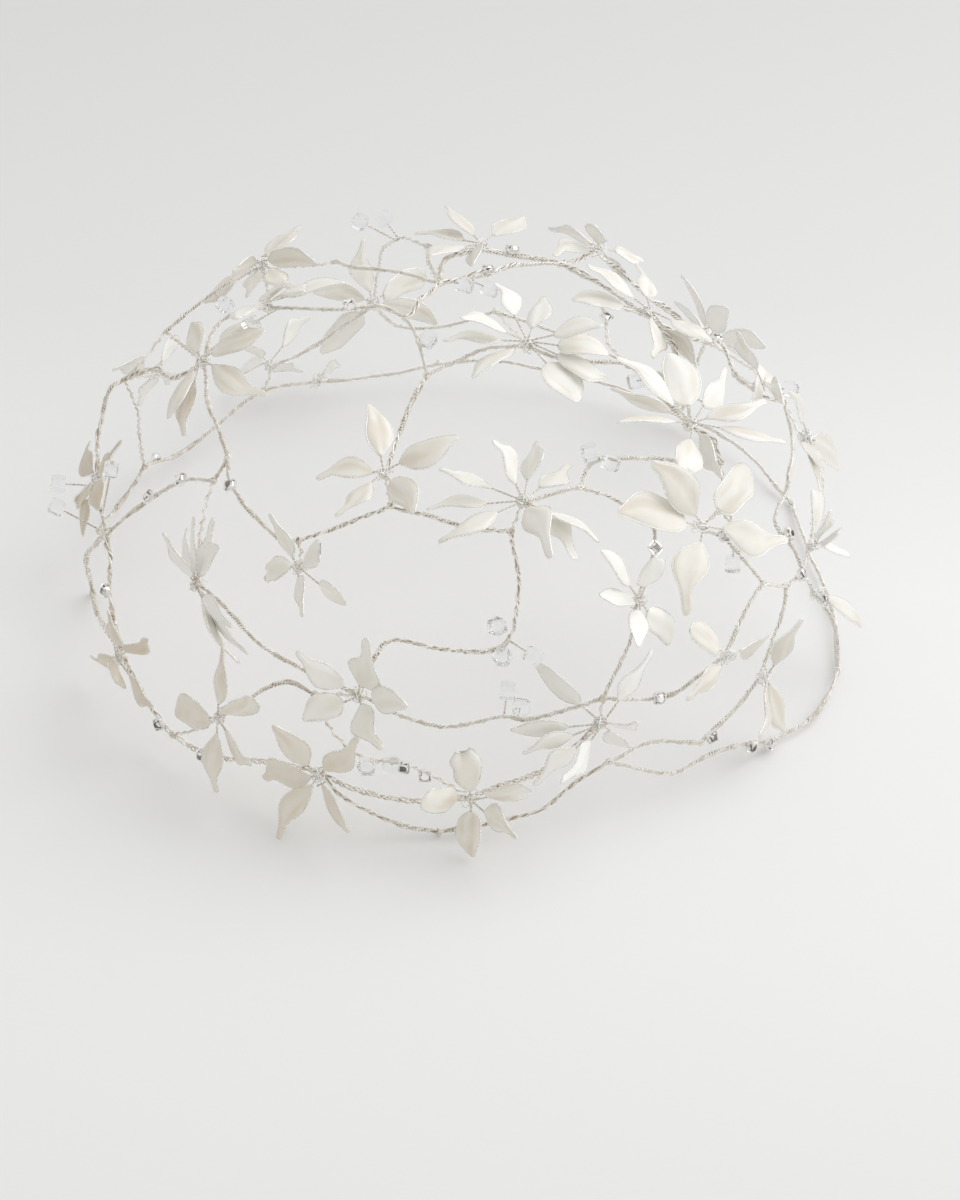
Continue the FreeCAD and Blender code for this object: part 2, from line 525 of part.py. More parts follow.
def cap_axes(azimuth, latitude):
    """East, up and outward directions of the cap's surface there."""
    turn, rise = math.radians(azimuth), math.radians(latitude)
    power = size("cap_fullness")
    flat = abs(math.cos(rise)) ** (power - 1.0) / size("cap_radius")
    steep = abs(math.sin(rise)) ** (power - 1.0) / size("cap_height")
    outward = Vector(flat * math.sin(turn), -flat * math.cos(turn), steep)
    outward.normalize()
    east = Vector(math.cos(turn), math.sin(turn), 0.0)
    return east, outward.cross(east), outward


def nearest_axes(point):
    """The cap's axes below any point near it."""
    azimuth = math.degrees(math.atan2(point.x, -point.y))
    out = math.hypot(point.x, point.y) / size("cap_radius")
    height = (point.z - size("tie_radius")) / size("cap_height")
    latitude = math.degrees(math.atan2(height, out))
    return cap_axes(azimuth, latitude)


# ---------------------------------------------------------------- makers

def add(kind, name, **properties):
    """Document object of a kind, with its properties set."""
    thing = doc.addObject(kind, name)
    for key, value in properties.items():
        setattr(thing, key, value)
    return thing


def bar(name, sides, radius_alias, start, end):
    """Straight bar from start to end, with its radius bound to the sheet."""
    run = end - start
    prism = add("Part::Prism", name, Polygon=sides, Height=run.Length)
    prism.setExpression("Circumradius", "Sizes.%s" % radius_alias)
    prism.Placement = Placement(start, Rotation(Vector(0, 0, 1), run))
    return prism


def wrap(name, radius_alias, length_alias, centre, outward):
    """Wrapped binding: a short barrel that stands on the cap at centre."""
    barrel = add("Part::Prism", name, Polygon=6)
    barrel.setExpression("Circumradius", "Sizes.%s" % radius_alias)
    barrel.setExpression("Height", "Sizes.%s" % length_alias)
    root = centre - outward * (size(length_alias) / 2.0)
    barrel.Placement = Placement(root, Rotation(Vector(0, 0, 1), outward))
    return barrel


def vine_tube(name, radius_alias, points):
    """Wire along a path, mitred at its bends."""
    spine = add("Part::Polygon", name + "_path", Nodes=points)
    section = add("Part::RegularPolygon", name + "_section", Polygon=6)
    section.setExpression("Circumradius", "Sizes.%s" % radius_alias)
    section.Placement = Placement(points[0], Rotation(Vector(0, 0, 1), points[1] - points[0]))
    tube = add("Part::Sweep", name, Sections=[section], Solid=True, Frenet=False)
    tube.Spine = (spine, [])
    tube.Transition = "Right corner"
    return tube


def ribbed_solid(ribs):
    """Closed solid through four-cornered ribs, with flat faces between them."""
    loops = [ribs[0], ribs[-1]]
    for near, far in zip(ribs, ribs[1:]):
        for this in range(4):
            following = (this + 1) % 4
            loops.append([near[this], near[following], far[following], far[this]])
    faces = [Part.Face(Part.makePolygon(loop + loop[:1])) for loop in loops]
    shell = Part.makeShell(faces)
    shell.sewShape()
    solid = Part.makeSolid(shell)
    if solid.Volume < 0:
        solid.reverse()
    return solid


def petal_solid(root, along, across, form, length, width):
    """Moulded petal from its root: swells, then narrows to its tip, and bows a little."""
    face = across.cross(along)
    half_thickness = size("petal_thickness") / 2.0
    ribs = []
    for part, spread, rise, body in PETAL_FORMS[form]:
        middle = root + along * (part * length) + face * (rise * length)
        side = across * (spread * width / 2.0)
        top = face * (body * half_thickness)
        ribs.append([middle - side - top, middle + side - top,
                     middle + side + top, middle - side + top])
    return ribbed_solid(ribs)


def gather(name, members):
    """Sub-part made of separate solids: a compound with the file's name as its label."""
    group = add("Part::Compound", name, Links=members)
    group.Label = name
    return group


def placed_copies(name, body, placements):
    """Sub-part made of one body repeated."""
    copies = []
    for placement in placements:
        copy = body.Shape.copy()
        copy.Placement = placement
        copies.append(copy)
    group = doc.addObject("Part::Feature", name)
    group.Label = name
    group.Shape = Part.makeCompound(copies)
    return group


# ---------------------------------------------------------------- joints of the wire

def joint_place(name):
    """Place triple of a flower or a tie."""
    return FLOWERS[name][0] if name in FLOWERS else TIES[name]


def vine_root(name):
    """Where vines aim at a flower or a tie."""
    azimuth, latitude, lift = joint_place(name)
    centre = cap_point(azimuth, latitude, lift)
    if name in FLOWERS:
        centre = centre - cap_axes(azimuth, latitude)[2] * size("core_step")
    return centre


def vine_stop(name):
    """How far from that root a vine's end stays."""
    radius = size("core_radius") if name in FLOWERS else size("tie_radius")
    return radius + size("seat_gap")


def vine_path(start, end, waypoints):
    """Centreline of one vine, cut back to the bindings at its ends."""
    points = [vine_root(start)]
    points += [cap_point(*place) for place in waypoints]
    points.append(vine_root(end))
    first = points[1] - points[0]
    last = points[-2] - points[-1]
    points[0] = points[0] + first.normalize() * vine_stop(start)
    points[-1] = points[-1] + last.normalize() * vine_stop(end)
    return points


def nearest_on_vines(point):
    """Nearest centreline point of any vine, with that vine's radius."""
    best = None
    for radius_alias, path in vine_paths:
        for start, end in zip(path, path[1:]):
            run = end - start
            part = (point - start).dot(run) / run.dot(run)
            part = min(max(part, 0.12), 0.88)
            foot = start + run * part
            gap = (point - foot).Length
            if best is None or gap < best[0]:
                best = (gap, foot, size(radius_alias), run)
    return best[1], best[2], best[3]


# ---------------------------------------------------------------- vines and ties

nodes = []
vine_paths = []
for node_name, stretches in VINES.items():
    tubes = []
    for number, (start, end, radius_alias, waypoints) in enumerate(stretches, start=1):
        path = vine_path(start, end, waypoints)
        vine_paths.append((radius_alias, path))
        tubes.append(vine_tube("%s_%d" % (node_name, number), radius_alias, path))
    nodes.append(gather(node_name, tubes))

ties = []
for tie_name, place in TIES.items():
    outward = cap_axes(place[0], place[1])[2]
    ties.append(wrap(tie_name, "tie_radius", "tie_length", cap_point(*place), outward))
nodes.append(gather("vine_ties", ties))

# ---------------------------------------------------------------- flowers

cores = []
stems = {"front": [], "right": [], "back": [], "left": []}
for flower_name, (place, petals) in FLOWERS.items():
    east, up, outward = cap_axes(place[0], place[1])
    centre = cap_point(*place)
    cores.append(wrap(flower_name + "_core", "core_radius", "core_length", centre, outward))
    hub = centre + outward * size("core_step")
    quarter = ["front", "right", "back", "left"][int(((place[0] + 45.0) % 360.0) // 90.0)]
    solids = []
    for form, clock, pitch, reach, length, width, roll in petals:
        heading = math.radians(clock)
        slope = math.radians(pitch)
        level = up * math.cos(heading) + east * math.sin(heading)
        along = level * math.cos(slope) + outward * math.sin(slope)
        across = along.cross(outward).normalize()
        across = Rotation(along, roll).multVec(across)
        root = hub + along * reach
        solids.append(petal_solid(root, along, across, form, length, width))
        stem_start = hub + along * (size("core_radius") + size("seat_gap"))
        stems[quarter].append(bar("%s_stem" % flower_name, 4, "stem_radius", stem_start, root))
    flower = doc.addObject("Part::Feature", flower_name + "_petals")
    flower.Label = flower_name + "_petals"
    flower.Shape = Part.makeCompound(solids)
    nodes.append(flower)
nodes.append(gather("flower_bindings", cores))
for quarter, bars in stems.items():
    nodes.append(gather("petal_stems_" + quarter, bars))

# ---------------------------------------------------------------- stones and crystals


def origin_plane(body, role):
    """One of a body's own origin planes."""
    for feature in body.Origin.OriginFeatures:
        if feature.Role == role:
            return feature


def polygon_sketch(body, name, sides, radius_expression, height_expression=None):
    """Regular polygon about the origin, its corners on a bound circle."""
    sketch = body.newObject("Sketcher::SketchObject", name)
    sketch.AttachmentSupport = (origin_plane(body, "XY_Plane"), [""])
    sketch.MapMode = "FlatFace"
    corners = []
    for corner in range(sides):
        angle = 2.0 * math.pi * (corner + 0.5) / sides
        corners.append(Vector(math.cos(angle), math.sin(angle), 0.0))
    for corner in range(sides):
        sketch.addGeometry(Part.LineSegment(corners[corner], corners[(corner + 1) % sides]), False)
    circle = sketch.addGeometry(Part.Circle(Vector(), Vector(0, 0, 1), 1.0), True)
    for corner in range(sides):
        following = (corner + 1) % sides
        sketch.addConstraint(Sketcher.Constraint("Coincident", corner, 2, following, 1))
        sketch.addConstraint(Sketcher.Constraint("PointOnObject", corner, 1, circle))
        if corner:
            sketch.addConstraint(Sketcher.Constraint("Equal", 0, corner))
    sketch.addConstraint(Sketcher.Constraint("Coincident", circle, 3, -1, 1))
    sketch.addConstraint(Sketcher.Constraint("Vertical", sides - 1))
    radius = sketch.addConstraint(Sketcher.Constraint("Radius", circle, 1.0))
    sketch.setExpression("Constraints[%d]" % radius, radius_expression)
    if height_expression:
        sketch.setExpression("AttachmentOffset.Base.z", height_expression)
    return sketch


STONE_SIDES = 6

crystal = doc.addObject("PartDesign::Body", "crystal_master")
square = polygon_sketch(crystal, "crystal_square", 4, "Sizes.crystal_side / sqrt(2)")
cube = crystal.newObject("PartDesign::Pad", "crystal_cube")
cube.Profile = square
cube.setExpression("Length", "Sizes.crystal_side")
cube.Midplane = True
doc.recompute()
bevel = crystal.newObject("PartDesign::Chamfer", "crystal_bevel")
bevel.Base = (cube, ["Edge%d" % (number + 1) for number in range(len(cube.Shape.Edges))])
bevel.setExpression("Size", "Sizes.crystal_chamfer")

cup = doc.addObject("PartDesign::Body", "cup_master")
cup_outline = polygon_sketch(cup, "cup_outline", STONE_SIDES,
                             "Sizes.stone_radius + Sizes.stone_gap + Sizes.cup_wall")
cup_pad = cup.newObject("PartDesign::Pad", "cup_pad")
cup_pad.Profile = cup_outline
cup_pad.setExpression("Length", "Sizes.cup_height")
cup_seat = polygon_sketch(cup, "cup_seat", STONE_SIDES,
                          "Sizes.stone_radius + Sizes.stone_gap", "Sizes.cup_wall")
cup_pocket = cup.newObject("PartDesign::Pocket", "cup_pocket")
cup_pocket.Profile = cup_seat
cup_pocket.setExpression("Length", "Sizes.cup_height")
cup_pocket.Reversed = True

stone = doc.addObject("PartDesign::Body", "stone_master")
stone_outline = polygon_sketch(stone, "stone_outline", STONE_SIDES,
                               "Sizes.stone_radius", "Sizes.cup_wall")
stone_pad = stone.newObject("PartDesign::Pad", "stone_pad")
stone_pad.Profile = stone_outline
stone_pad.setExpression("Length", "Sizes.stone_height")
stone_pad.TaperAngle = -18.0
doc.recompute()

stone_places = []
for azimuth, latitude in RHINESTONES:
    foot, wire_radius, run = nearest_on_vines(cap_point(azimuth, latitude))
    outward = nearest_axes(foot)[2]
    outward = (outward - run * (outward.dot(run) / run.dot(run))).normalize()
    stone_places.append(Placement(foot + outward * wire_radius, Rotation(Vector(0, 0, 1), outward)))
nodes.append(placed_copies("rhinestone_cups", cup, stone_places))
nodes.append(placed_copies("rhinestones", stone, stone_places))

crystal_places = []
crystal_stems = []
for place in CRYSTALS:
    middle = cap_point(*place)
    foot, wire_radius, run = nearest_on_vines(middle)
    lead = (middle - foot).normalize()
    crystal_places.append(Placement(middle, Rotation(Vector(0, 0, 1), lead)))
    crystal_stems.append(bar("crystal_stem", 4, "stem_radius", foot + lead * wire_radius,
                             middle - lead * (size("crystal_side") / 2.0)))
nodes.append(placed_copies("crystals", crystal, crystal_places))
nodes.append(gather("crystal_stems", crystal_stems))

# ---------------------------------------------------------------- check and write

doc.recompute()
for thing in doc.Objects:
    if "Invalid" in thing.State or "Error" in thing.State:
        raise RuntimeError("%s did not build: %s" % (thing.Name, thing.State))
for node in nodes:
    if node.Shape.isNull() or not node.Shape.isValid():
        raise RuntimeError("%s has no valid shape" % node.Label)

os.makedirs("parts", exist_ok=True)
for node in nodes:
    node.Shape.exportStep("parts/%s.step" % node.Label)
print("%d sub-parts, %d solids" % (len(nodes), sum(len(node.Shape.Solids) for node in nodes)))
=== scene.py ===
import math
import random
from functools import partial

import bmesh
import bpy
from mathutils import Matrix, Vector, noise


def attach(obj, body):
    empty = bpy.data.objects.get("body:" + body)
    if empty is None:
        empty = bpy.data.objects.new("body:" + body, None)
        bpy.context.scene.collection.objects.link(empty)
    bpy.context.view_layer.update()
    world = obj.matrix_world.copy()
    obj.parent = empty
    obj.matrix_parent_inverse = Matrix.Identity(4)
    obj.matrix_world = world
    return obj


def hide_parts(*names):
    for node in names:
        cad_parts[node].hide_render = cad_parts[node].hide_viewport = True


# Flower crown: a domed cap of twisted silver wire carrying moulded pearl petals on wire
# stems, set rhinestones and cube crystals.  Metres, +Z up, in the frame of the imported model.

MM = 0.001
SEED = 23

# Points of a solid nearer to each other than this are one corner.
MERGE = 0.002 * MM

SIDES = ("front", "right", "back", "left")

# Wire styles: strands, then in millimetres the radius of a strand, the radius they twist
# at, the length of a turn, how far they stray and the spacing of the points along them.
WIRE_STYLES = {
    "tight": (3, 0.175, 0.27, 2.2, 0.32, 0.22),
    "pair": (2, 0.23, 0.27, 6.0, 0.25, 0.30),
    "open": (3, 0.17, 0.46, 5.2, 0.44, 0.32),
    "single": (1, 0.24, 0.0, 5.0, 0.12, 0.50),
    "stem": (2, 0.13, 0.14, 1.8, 0.05, 0.22),
    "edge": (1, 0.195, 0.0, 5.0, 0.03, 0.60),
    "wrap": (1, 0.14, 0.0, 5.0, 0.10, 0.24),
    "coil": (1, 0.14, 0.47, 0.70, 0.26, 0.075),
    "loose": (1, 0.12, 0.42, 3.0, 0.55, 0.20),
}

# Vines with another twist than the rest, and those with a second pair of wires alongside.
OPEN_VINES = {"rim_front_upper", "rim_left"}
PAIR_VINES = {"crown_front_vine", "rim_front"}
THICK_VINES = {"crest_back_vine", "right_shoulder_vine", "left_edge_vine"}

# Petal outlines from root to tip: part of the length, part of the half width, and how far
# the middle shifts sideways as part of the half width.
OUTLINES = {
    "tailed": ((0, .12, 0), (.07, .34, 0), (.18, .72, 0), (.33, 1, 0), (.47, .98, .03),
               (.60, .74, .14), (.70, .46, .34), (.80, .29, .62), (.91, .24, .92),
               (.975, .18, 1.02), (1, .07, 1.04)),
    "long tail": ((0, .12, 0), (.07, .40, 0), (.18, .82, 0), (.30, 1, 0), (.42, .92, .04),
                  (.54, .62, .18), (.64, .38, .40), (.76, .27, .72), (.89, .23, 1.06),
                  (.97, .17, 1.18), (1, .07, 1.20)),
    "leaf": ((0, .10, 0), (.07, .38, 0), (.2, .80, 0), (.38, 1, 0), (.56, .94, .04),
             (.73, .66, .18), (.86, .38, .40), (.95, .22, .54), (1, .08, .58)),
    "plump": ((0, .14, 0), (.05, .46, 0), (.16, .84, 0), (.36, 1, 0), (.58, .99, .02),
              (.76, .80, .14), (.88, .48, .38), (.96, .26, .56), (1, .10, .62)),
    "blunt": ((0, .12, 0), (.05, .42, 0), (.16, .80, 0), (.36, .98, 0), (.6, 1, 0),
              (.8, .92, .03), (.92, .74, .05), (.98, .48, .05), (1, .26, .05)),
    "heart": ((0, .10, 0), (.06, .32, 0), (.2, .62, 0), (.42, .94, 0), (.62, 1, 0),
              (.8, .98, 0), (.92, .90, 0), (1, .78, 0)),
    "square": ((0, .14, 0), (.04, .50, 0), (.12, .84, 0), (.3, .94, 0), (.6, 1, 0),
               (.84, .98, .02), (.94, .90, .03), (1, .74, .03)),
}
DEFAULT_OUTLINES = ("tailed", "tailed", "long tail", "leaf", "plump")

# Petals with their own outline, by their place in the flower: outline, bend of the tip,
# and how much wider they are than the solid.  A tip bent by less than nothing leans to the
# left, seen from outside with the tip up.
PETAL_SHAPES = {
    "right_large": {0: ("plump", -1.0, 1.05), 1: ("leaf", -1.2, 1.05),
                    2: ("square", -0.8, 1.0), 3: ("tailed", -0.9, 1.1),
                    4: ("long tail", -0.9, 1.15)},
    "crown_left": {0: ("leaf", -0.9, 1.05), 1: ("leaf", -1.0, 1.1),
                   2: ("tailed", -1.2, 1.15), 3: ("tailed", 0.8, 1.1),
                   4: ("plump", 1.3, 1.05)},
    "crown_centre": {0: ("tailed", -0.9, 1.1), 1: ("tailed", -0.7, 1.1),
                     2: ("long tail", -0.8, 1.2), 3: ("tailed", 0.8, 1.0),
                     5: ("tailed", 0.7, 1.1), 6: ("long tail", 0.9, 1.3),
                     7: ("long tail", 0.8, 1.25), 8: ("tailed", 0.6, 1.0)},
    "left_small": {1: ("heart", 0.3, 1.1), 2: ("heart", -0.3, 1.1)},
    "front_left": {0: ("plump", -1.0, 1.1), 2: ("plump", -1.0, 1.25), 3: ("tailed", -0.6, 1.05)},
    "front_rim_left": {0: ("leaf", -1.0, 1.05), 1: ("tailed", -1.1, 1.15),
                       2: ("tailed", -0.8, 1.1), 3: ("tailed", -0.9, 1.05),
                       4: ("leaf", 0.5, 1.0)},
    "front_garland": {0: ("tailed", 0.5, 1.1), 1: ("long tail", -0.8, 1.3),
                      2: ("plump", 1.0, 1.1), 3: ("long tail", -0.9, 1.2),
                      4: ("plump", -1.0, 1.1)},
    "front_rim_centre": {0: ("heart", 0.3, 1.15), 1: ("blunt", 0.4, 1.05),
                         2: ("plump", -0.8, 1.05), 3: ("tailed", 0.9, 1.1),
                         4: ("square", 0.5, 1.0)},
    "right_small": {0: ("leaf", -1.0, 1.0), 1: ("plump", -0.4, 1.0), 2: ("plump", 0.8, 1.05),
                    3: ("leaf", -0.8, 1.0), 4: ("plump", 1.0, 1.0)},
    "back_inner": {1: ("square", 0.6, 1.0)},
    "crown_right": {3: ("plump", -0.5, 1.0), 4: ("long tail", -0.8, 1.1),
                    7: ("long tail", 0.8, 1.1), 8: ("heart", -0.5, 1.15)},
    "right_low": {0: ("square", -0.6, 1.0)},
    "back_right": {0: ("tailed", -0.8, 1.0), 3: ("tailed", 0.9, 1.1), 4: ("tailed", -0.8, 1.0)},
    "front_right": {0: ("plump", -0.6, 1.1), 6: ("long tail", 0.7, 1.0)},
}

noise.seed_set(SEED)
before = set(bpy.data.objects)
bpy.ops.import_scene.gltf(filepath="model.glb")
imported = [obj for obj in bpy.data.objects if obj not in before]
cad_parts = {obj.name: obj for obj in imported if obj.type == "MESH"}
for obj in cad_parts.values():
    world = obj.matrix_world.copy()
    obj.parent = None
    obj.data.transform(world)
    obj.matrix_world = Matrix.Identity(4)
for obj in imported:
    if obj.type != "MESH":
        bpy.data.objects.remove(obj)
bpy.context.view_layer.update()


# ---------------------------------------------------------------- reading the frame

def mean(points):
    """Middle of some points."""
    return sum(points, Vector()) / len(points)


def node_solids(node):
    """The separate solids of a node: a list of (points, neighbours of each point, faces)."""
    shape = bmesh.new()
    shape.from_mesh(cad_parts[node].data)
    bmesh.ops.remove_doubles(shape, verts=shape.verts, dist=MERGE)
    seen, found = set(), []
    for start in shape.verts:
        if start in seen:
            continue
        seen.add(start)
        group, waiting = [], [start]
        while waiting:
            corner = waiting.pop()
            group.append(corner)
            for edge in corner.link_edges:
                other = edge.other_vert(corner)
                if other not in seen:
                    seen.add(other)
                    waiting.append(other)
        place = {corner: i for i, corner in enumerate(group)}
        faces = dict.fromkeys(face for corner in group for face in corner.link_faces)
        found.append((
            [corner.co.copy() for corner in group],
            [[place[e.other_vert(c)] for e in c.link_edges] for c in group],
            [([place[c] for c in face.verts], face.normal.copy()) for face in faces],
        ))
    shape.free()
    return found


# Cosine between faces in one plane, and how uneven the reach of a ring's corners may be.
FLAT = 0.9999
ROUND = 1.04


def end_ring(points, faces, sides):
    """Corners of one flat end of a tube: triangles in one plane that use `sides` corners."""
    by_corner = {}
    for corners, normal in faces:
        for corner in corners:
            by_corner.setdefault(corner, []).append((corners, normal))
    for corners, normal in faces:
        ring, waiting = set(corners), list(corners)
        while waiting:
            for others, their_normal in by_corner[waiting.pop()]:
                if their_normal.dot(normal) > FLAT:
                    for other in others:
                        if other not in ring:
                            ring.add(other)
                            waiting.append(other)
            if len(ring) > sides:
                break
        if len(ring) == sides:
            centre = mean([points[i] for i in ring])
            reach = [(points[i] - centre).length for i in ring]
            if max(reach) < ROUND * min(reach):
                return ring
    return None


def centreline(solid, sides):
    """Points along the middle of a tube, and its radius."""
    points, neighbours, faces = solid
    ring = end_ring(points, faces, sides)
    seen, line = set(ring), []
    radius = (points[min(ring)] - mean([points[i] for i in ring])).length
    while ring:
        line.append(mean([points[i] for i in ring]))
        ring = {j for i in ring for j in neighbours[i] if j not in seen}
        seen |= ring
    return line, radius


def prism_axis(solid):
    """Middle, direction and half length of a straight prism, from its two end rings."""
    points = solid[0]
    centre = mean(points)
    best = None
    for other in sorted(points, key=lambda p: (p - points[0]).length)[1:]:
        axis = (other - points[0]).normalized()
        along = sorted((p - centre).dot(axis) for p in points)
        half = len(along) // 2
        spread = (along[half - 1] - along[0]) + (along[-1] - along[half])
        if best is None or spread < best[0]:
            best = (spread, axis, (along[-1] - along[0]) / 2)
    return centre, best[1], best[2]


# ---------------------------------------------------------------- lines and meshes

def smooth_line(points, spacing):
    """Evenly spaced points on a rounded curve through the given ones."""
    guide = [2 * points[0] - points[1]] + list(points) + [2 * points[-1] - points[-2]]
    line = [points[0].copy()]
    for a, b, c, d in zip(guide, guide[1:], guide[2:], guide[3:]):
        steps = max(1, round((c - b).length / spacing))
        for step in range(1, steps + 1):
            t = step / steps
            line.append(0.5 * (2 * b + (c - a) * t + (2 * a - 5 * b + 4 * c - d) * t * t
                               + (3 * b - 3 * c + d - a) * t ** 3))
    return line


def stray(line, amount, wavelength):
    """The line with a slow hand-bent wander, fading out over its two ends."""
    moved = []
    for i, point in enumerate(line):
        fade = min(1.0, i / 2, (len(line) - 1 - i) / 2)
        moved.append(point + noise.noise_vector(point / wavelength) * amount * fade)
    return moved


def longer(line, more):
    """The line run on past its ends."""
    first = line[0] + (line[0] - line[1]).normalized() * more
    last = line[-1] + (line[-1] - line[-2]).normalized() * more
    return [first] + list(line) + [last]


def new_object(name, data):
    """A linked object for a mesh, a lamp or a camera."""
    made = bpy.data.objects.new(name, data)
    bpy.context.scene.collection.objects.link(made)
    return made


def add_node(tree, kind, settings=None, **inputs):
    """A node of a tree, with its settings and unlinked input values."""
    made = tree.nodes.new(kind)
    for key, value in (settings or {}).items():
        setattr(made, key, value)
    for key, value in inputs.items():
        made.inputs[key.replace("_", " ")].default_value = value
    return made


def socket_maths(tree, operation, *values):
    """A sum on sockets and plain numbers."""
    made = add_node(tree, "ShaderNodeMath", {"operation": operation})
    for place, value in enumerate(values):
        if isinstance(value, (int, float)):
            made.inputs[place].default_value = value
        else:
            tree.links.new(value, made.inputs[place])
    return made.outputs[0]


def wire_tree():
    """Geometry Nodes: strands of round wire twisted together along each path."""
    tree = bpy.data.node_groups.new("Twisted wire", "GeometryNodeTree")
    sockets = tree.interface
    sockets.new_socket("Path", in_out="INPUT", socket_type="NodeSocketGeometry")
    sockets.new_socket("Strands", in_out="INPUT", socket_type="NodeSocketInt")
    for name in ("Strand Radius", "Twist Radius", "Turn Length", "Stray", "Spacing"):
        sockets.new_socket(name, in_out="INPUT", socket_type="NodeSocketFloat")
    sockets.new_socket("Finish", in_out="INPUT", socket_type="NodeSocketMaterial")
    sockets.new_socket("Wire", in_out="OUTPUT", socket_type="NodeSocketGeometry")
    link = tree.links.new
    maths = partial(socket_maths, tree)
    given = add_node(tree, "NodeGroupInput").outputs

    def vector(operation, a, b=None, scale=None):
        made = add_node(tree, "ShaderNodeVectorMath", {"operation": operation})
        link(a, made.inputs[0])
        if isinstance(b, tuple):
            made.inputs[1].default_value = b
        elif b is not None:
            link(b, made.inputs[1])
        if scale is not None:
            link(scale, made.inputs["Scale"])
        return made.outputs[0]

    def step(before, kind, settings=None, **inputs):
        made = add_node(tree, "GeometryNode" + kind, settings, **inputs)
        link(before, made.inputs[0])
        return made

    curve = step(given["Path"], "MeshToCurve")
    even = step(curve.outputs[0], "ResampleCurve", {"mode": "LENGTH"})
    strands = step(even.outputs[0], "DuplicateElements", {"domain": "SPLINE"})
    link(given["Spacing"], even.inputs["Length"])
    link(given["Strands"], strands.inputs["Amount"])
    strand = strands.outputs["Duplicate Index"]

    # How far every strand strays: a little apart from the others, and drifting.
    here = add_node(tree, "GeometryNodeInputPosition").outputs[0]
    bulge = add_node(tree, "ShaderNodeTexNoise", Scale=240.0, Detail=1.0)
    drift = add_node(tree, "ShaderNodeTexNoise", Scale=330.0, Detail=2.0)
    apart = add_node(tree, "ShaderNodeCombineXYZ")
    link(maths("MULTIPLY", strand, 0.017), apart.inputs[0])
    link(here, bulge.inputs["Vector"])
    link(vector("ADD", here, apart.outputs[0]), drift.inputs["Vector"])
    loose = vector("SUBTRACT", drift.outputs[1], (0.5, 0.5, 0.5))
    loose = vector("SCALE", loose, scale=given["Stray"])

    # Where it is in its turn round the others, on a circle that swells and shrinks.
    spread = add_node(tree, "ShaderNodeMapRange", From_Min=0.3, From_Max=0.7,
                      To_Min=0.8, To_Max=1.3)
    link(bulge.outputs[0], spread.inputs["Value"])
    length = add_node(tree, "GeometryNodeSplineParameter").outputs["Length"]
    turns = maths("DIVIDE", length, given["Turn Length"])
    share = maths("DIVIDE", strand, given["Strands"])
    uneven = maths("MULTIPLY", bulge.outputs[0], 1.1)
    angle = maths("MULTIPLY", maths("ADD", maths("ADD", turns, share), uneven), math.tau)
    reach = maths("MULTIPLY", given["Twist Radius"], spread.outputs[0])
    normal = add_node(tree, "GeometryNodeInputNormal").outputs[0]
    tangent = add_node(tree, "GeometryNodeInputTangent").outputs[0]
    side = vector("CROSS_PRODUCT", normal, tangent)
    out = vector("SCALE", normal, scale=maths("MULTIPLY", maths("COSINE", angle), reach))
    over = vector("SCALE", side, scale=maths("MULTIPLY", maths("SINE", angle), reach))

    # The middle of the twist is kept on each strand until it is solid, to tell its grooves,
    # where the finishes paint shade.
    marked = step(strands.outputs["Geometry"], "StoreNamedAttribute",
                  {"data_type": "FLOAT_VECTOR"}, Name="middle")
    link(vector("ADD", here, loose), marked.inputs["Value"])
    twisted = step(marked.outputs[0], "SetPosition")
    link(vector("ADD", vector("ADD", out, over), loose), twisted.inputs["Offset"])
    solid = step(twisted.outputs[0], "CurveToMesh", Fill_Caps=True)
    profile = add_node(tree, "GeometryNodeCurvePrimitiveCircle", Resolution=5)
    link(given["Strand Radius"], profile.inputs["Radius"])
    link(profile.outputs[0], solid.inputs["Profile Curve"])
    middle = add_node(tree, "GeometryNodeInputNamedAttribute", {"data_type": "FLOAT_VECTOR"},
                      Name="middle")
    away = add_node(tree, "ShaderNodeVectorMath", {"operation": "DISTANCE"})
    link(here, away.inputs[0])
    link(middle.outputs[0], away.inputs[1])
    thickness = maths("ADD", given["Twist Radius"], given["Strand Radius"])
    grooved = step(solid.outputs[0], "StoreNamedAttribute", {"data_type": "FLOAT"},
                   Name="groove")
    link(maths("SUBTRACT", 1.0, maths("DIVIDE", away.outputs["Value"], thickness)),
         grooved.inputs["Value"])

    bare = step(grooved.outputs[0], "RemoveAttribute", Name="middle")
    shaded = step(bare.outputs[0], "SetShadeSmooth")
    real = step(shaded.outputs[0], "RealizeInstances")
    coated = step(real.outputs[0], "SetMaterial")
    link(given["Finish"], coated.inputs["Material"])
    link(coated.outputs[0], add_node(tree, "NodeGroupOutput").inputs[0])
    return tree


def wire_mesh(paths, style, finish):
    """Plain mesh of wire in one style along the paths."""
    points, edges = [], []
    for path in paths:
        edges += [(len(points) + i, len(points) + i + 1) for i in range(len(path) - 1)]
        points += path
    host_mesh = bpy.data.meshes.new("paths")
    host_mesh.from_pydata(points, edges, [])
    host = new_object("paths", host_mesh)
    modifier = host.modifiers.new("wire", "NODES")
    modifier.node_group = WIRE_TREE
    strands, strand, twist, turn, wander, spacing = WIRE_STYLES[style]
    values = {"Strands": strands, "Strand Radius": strand * MM, "Twist Radius": twist * MM,
              "Turn Length": turn * MM, "Stray": wander * MM, "Spacing": spacing * MM,
              "Finish": finish}
    for item in WIRE_TREE.interface.items_tree:
        if item.in_out == "INPUT" and item.name in values:
            modifier[item.identifier] = values[item.name]
    seen = bpy.context.evaluated_depsgraph_get()
    mesh = bpy.data.meshes.new_from_object(host.evaluated_get(seen))
    bpy.data.objects.remove(host)
    return mesh


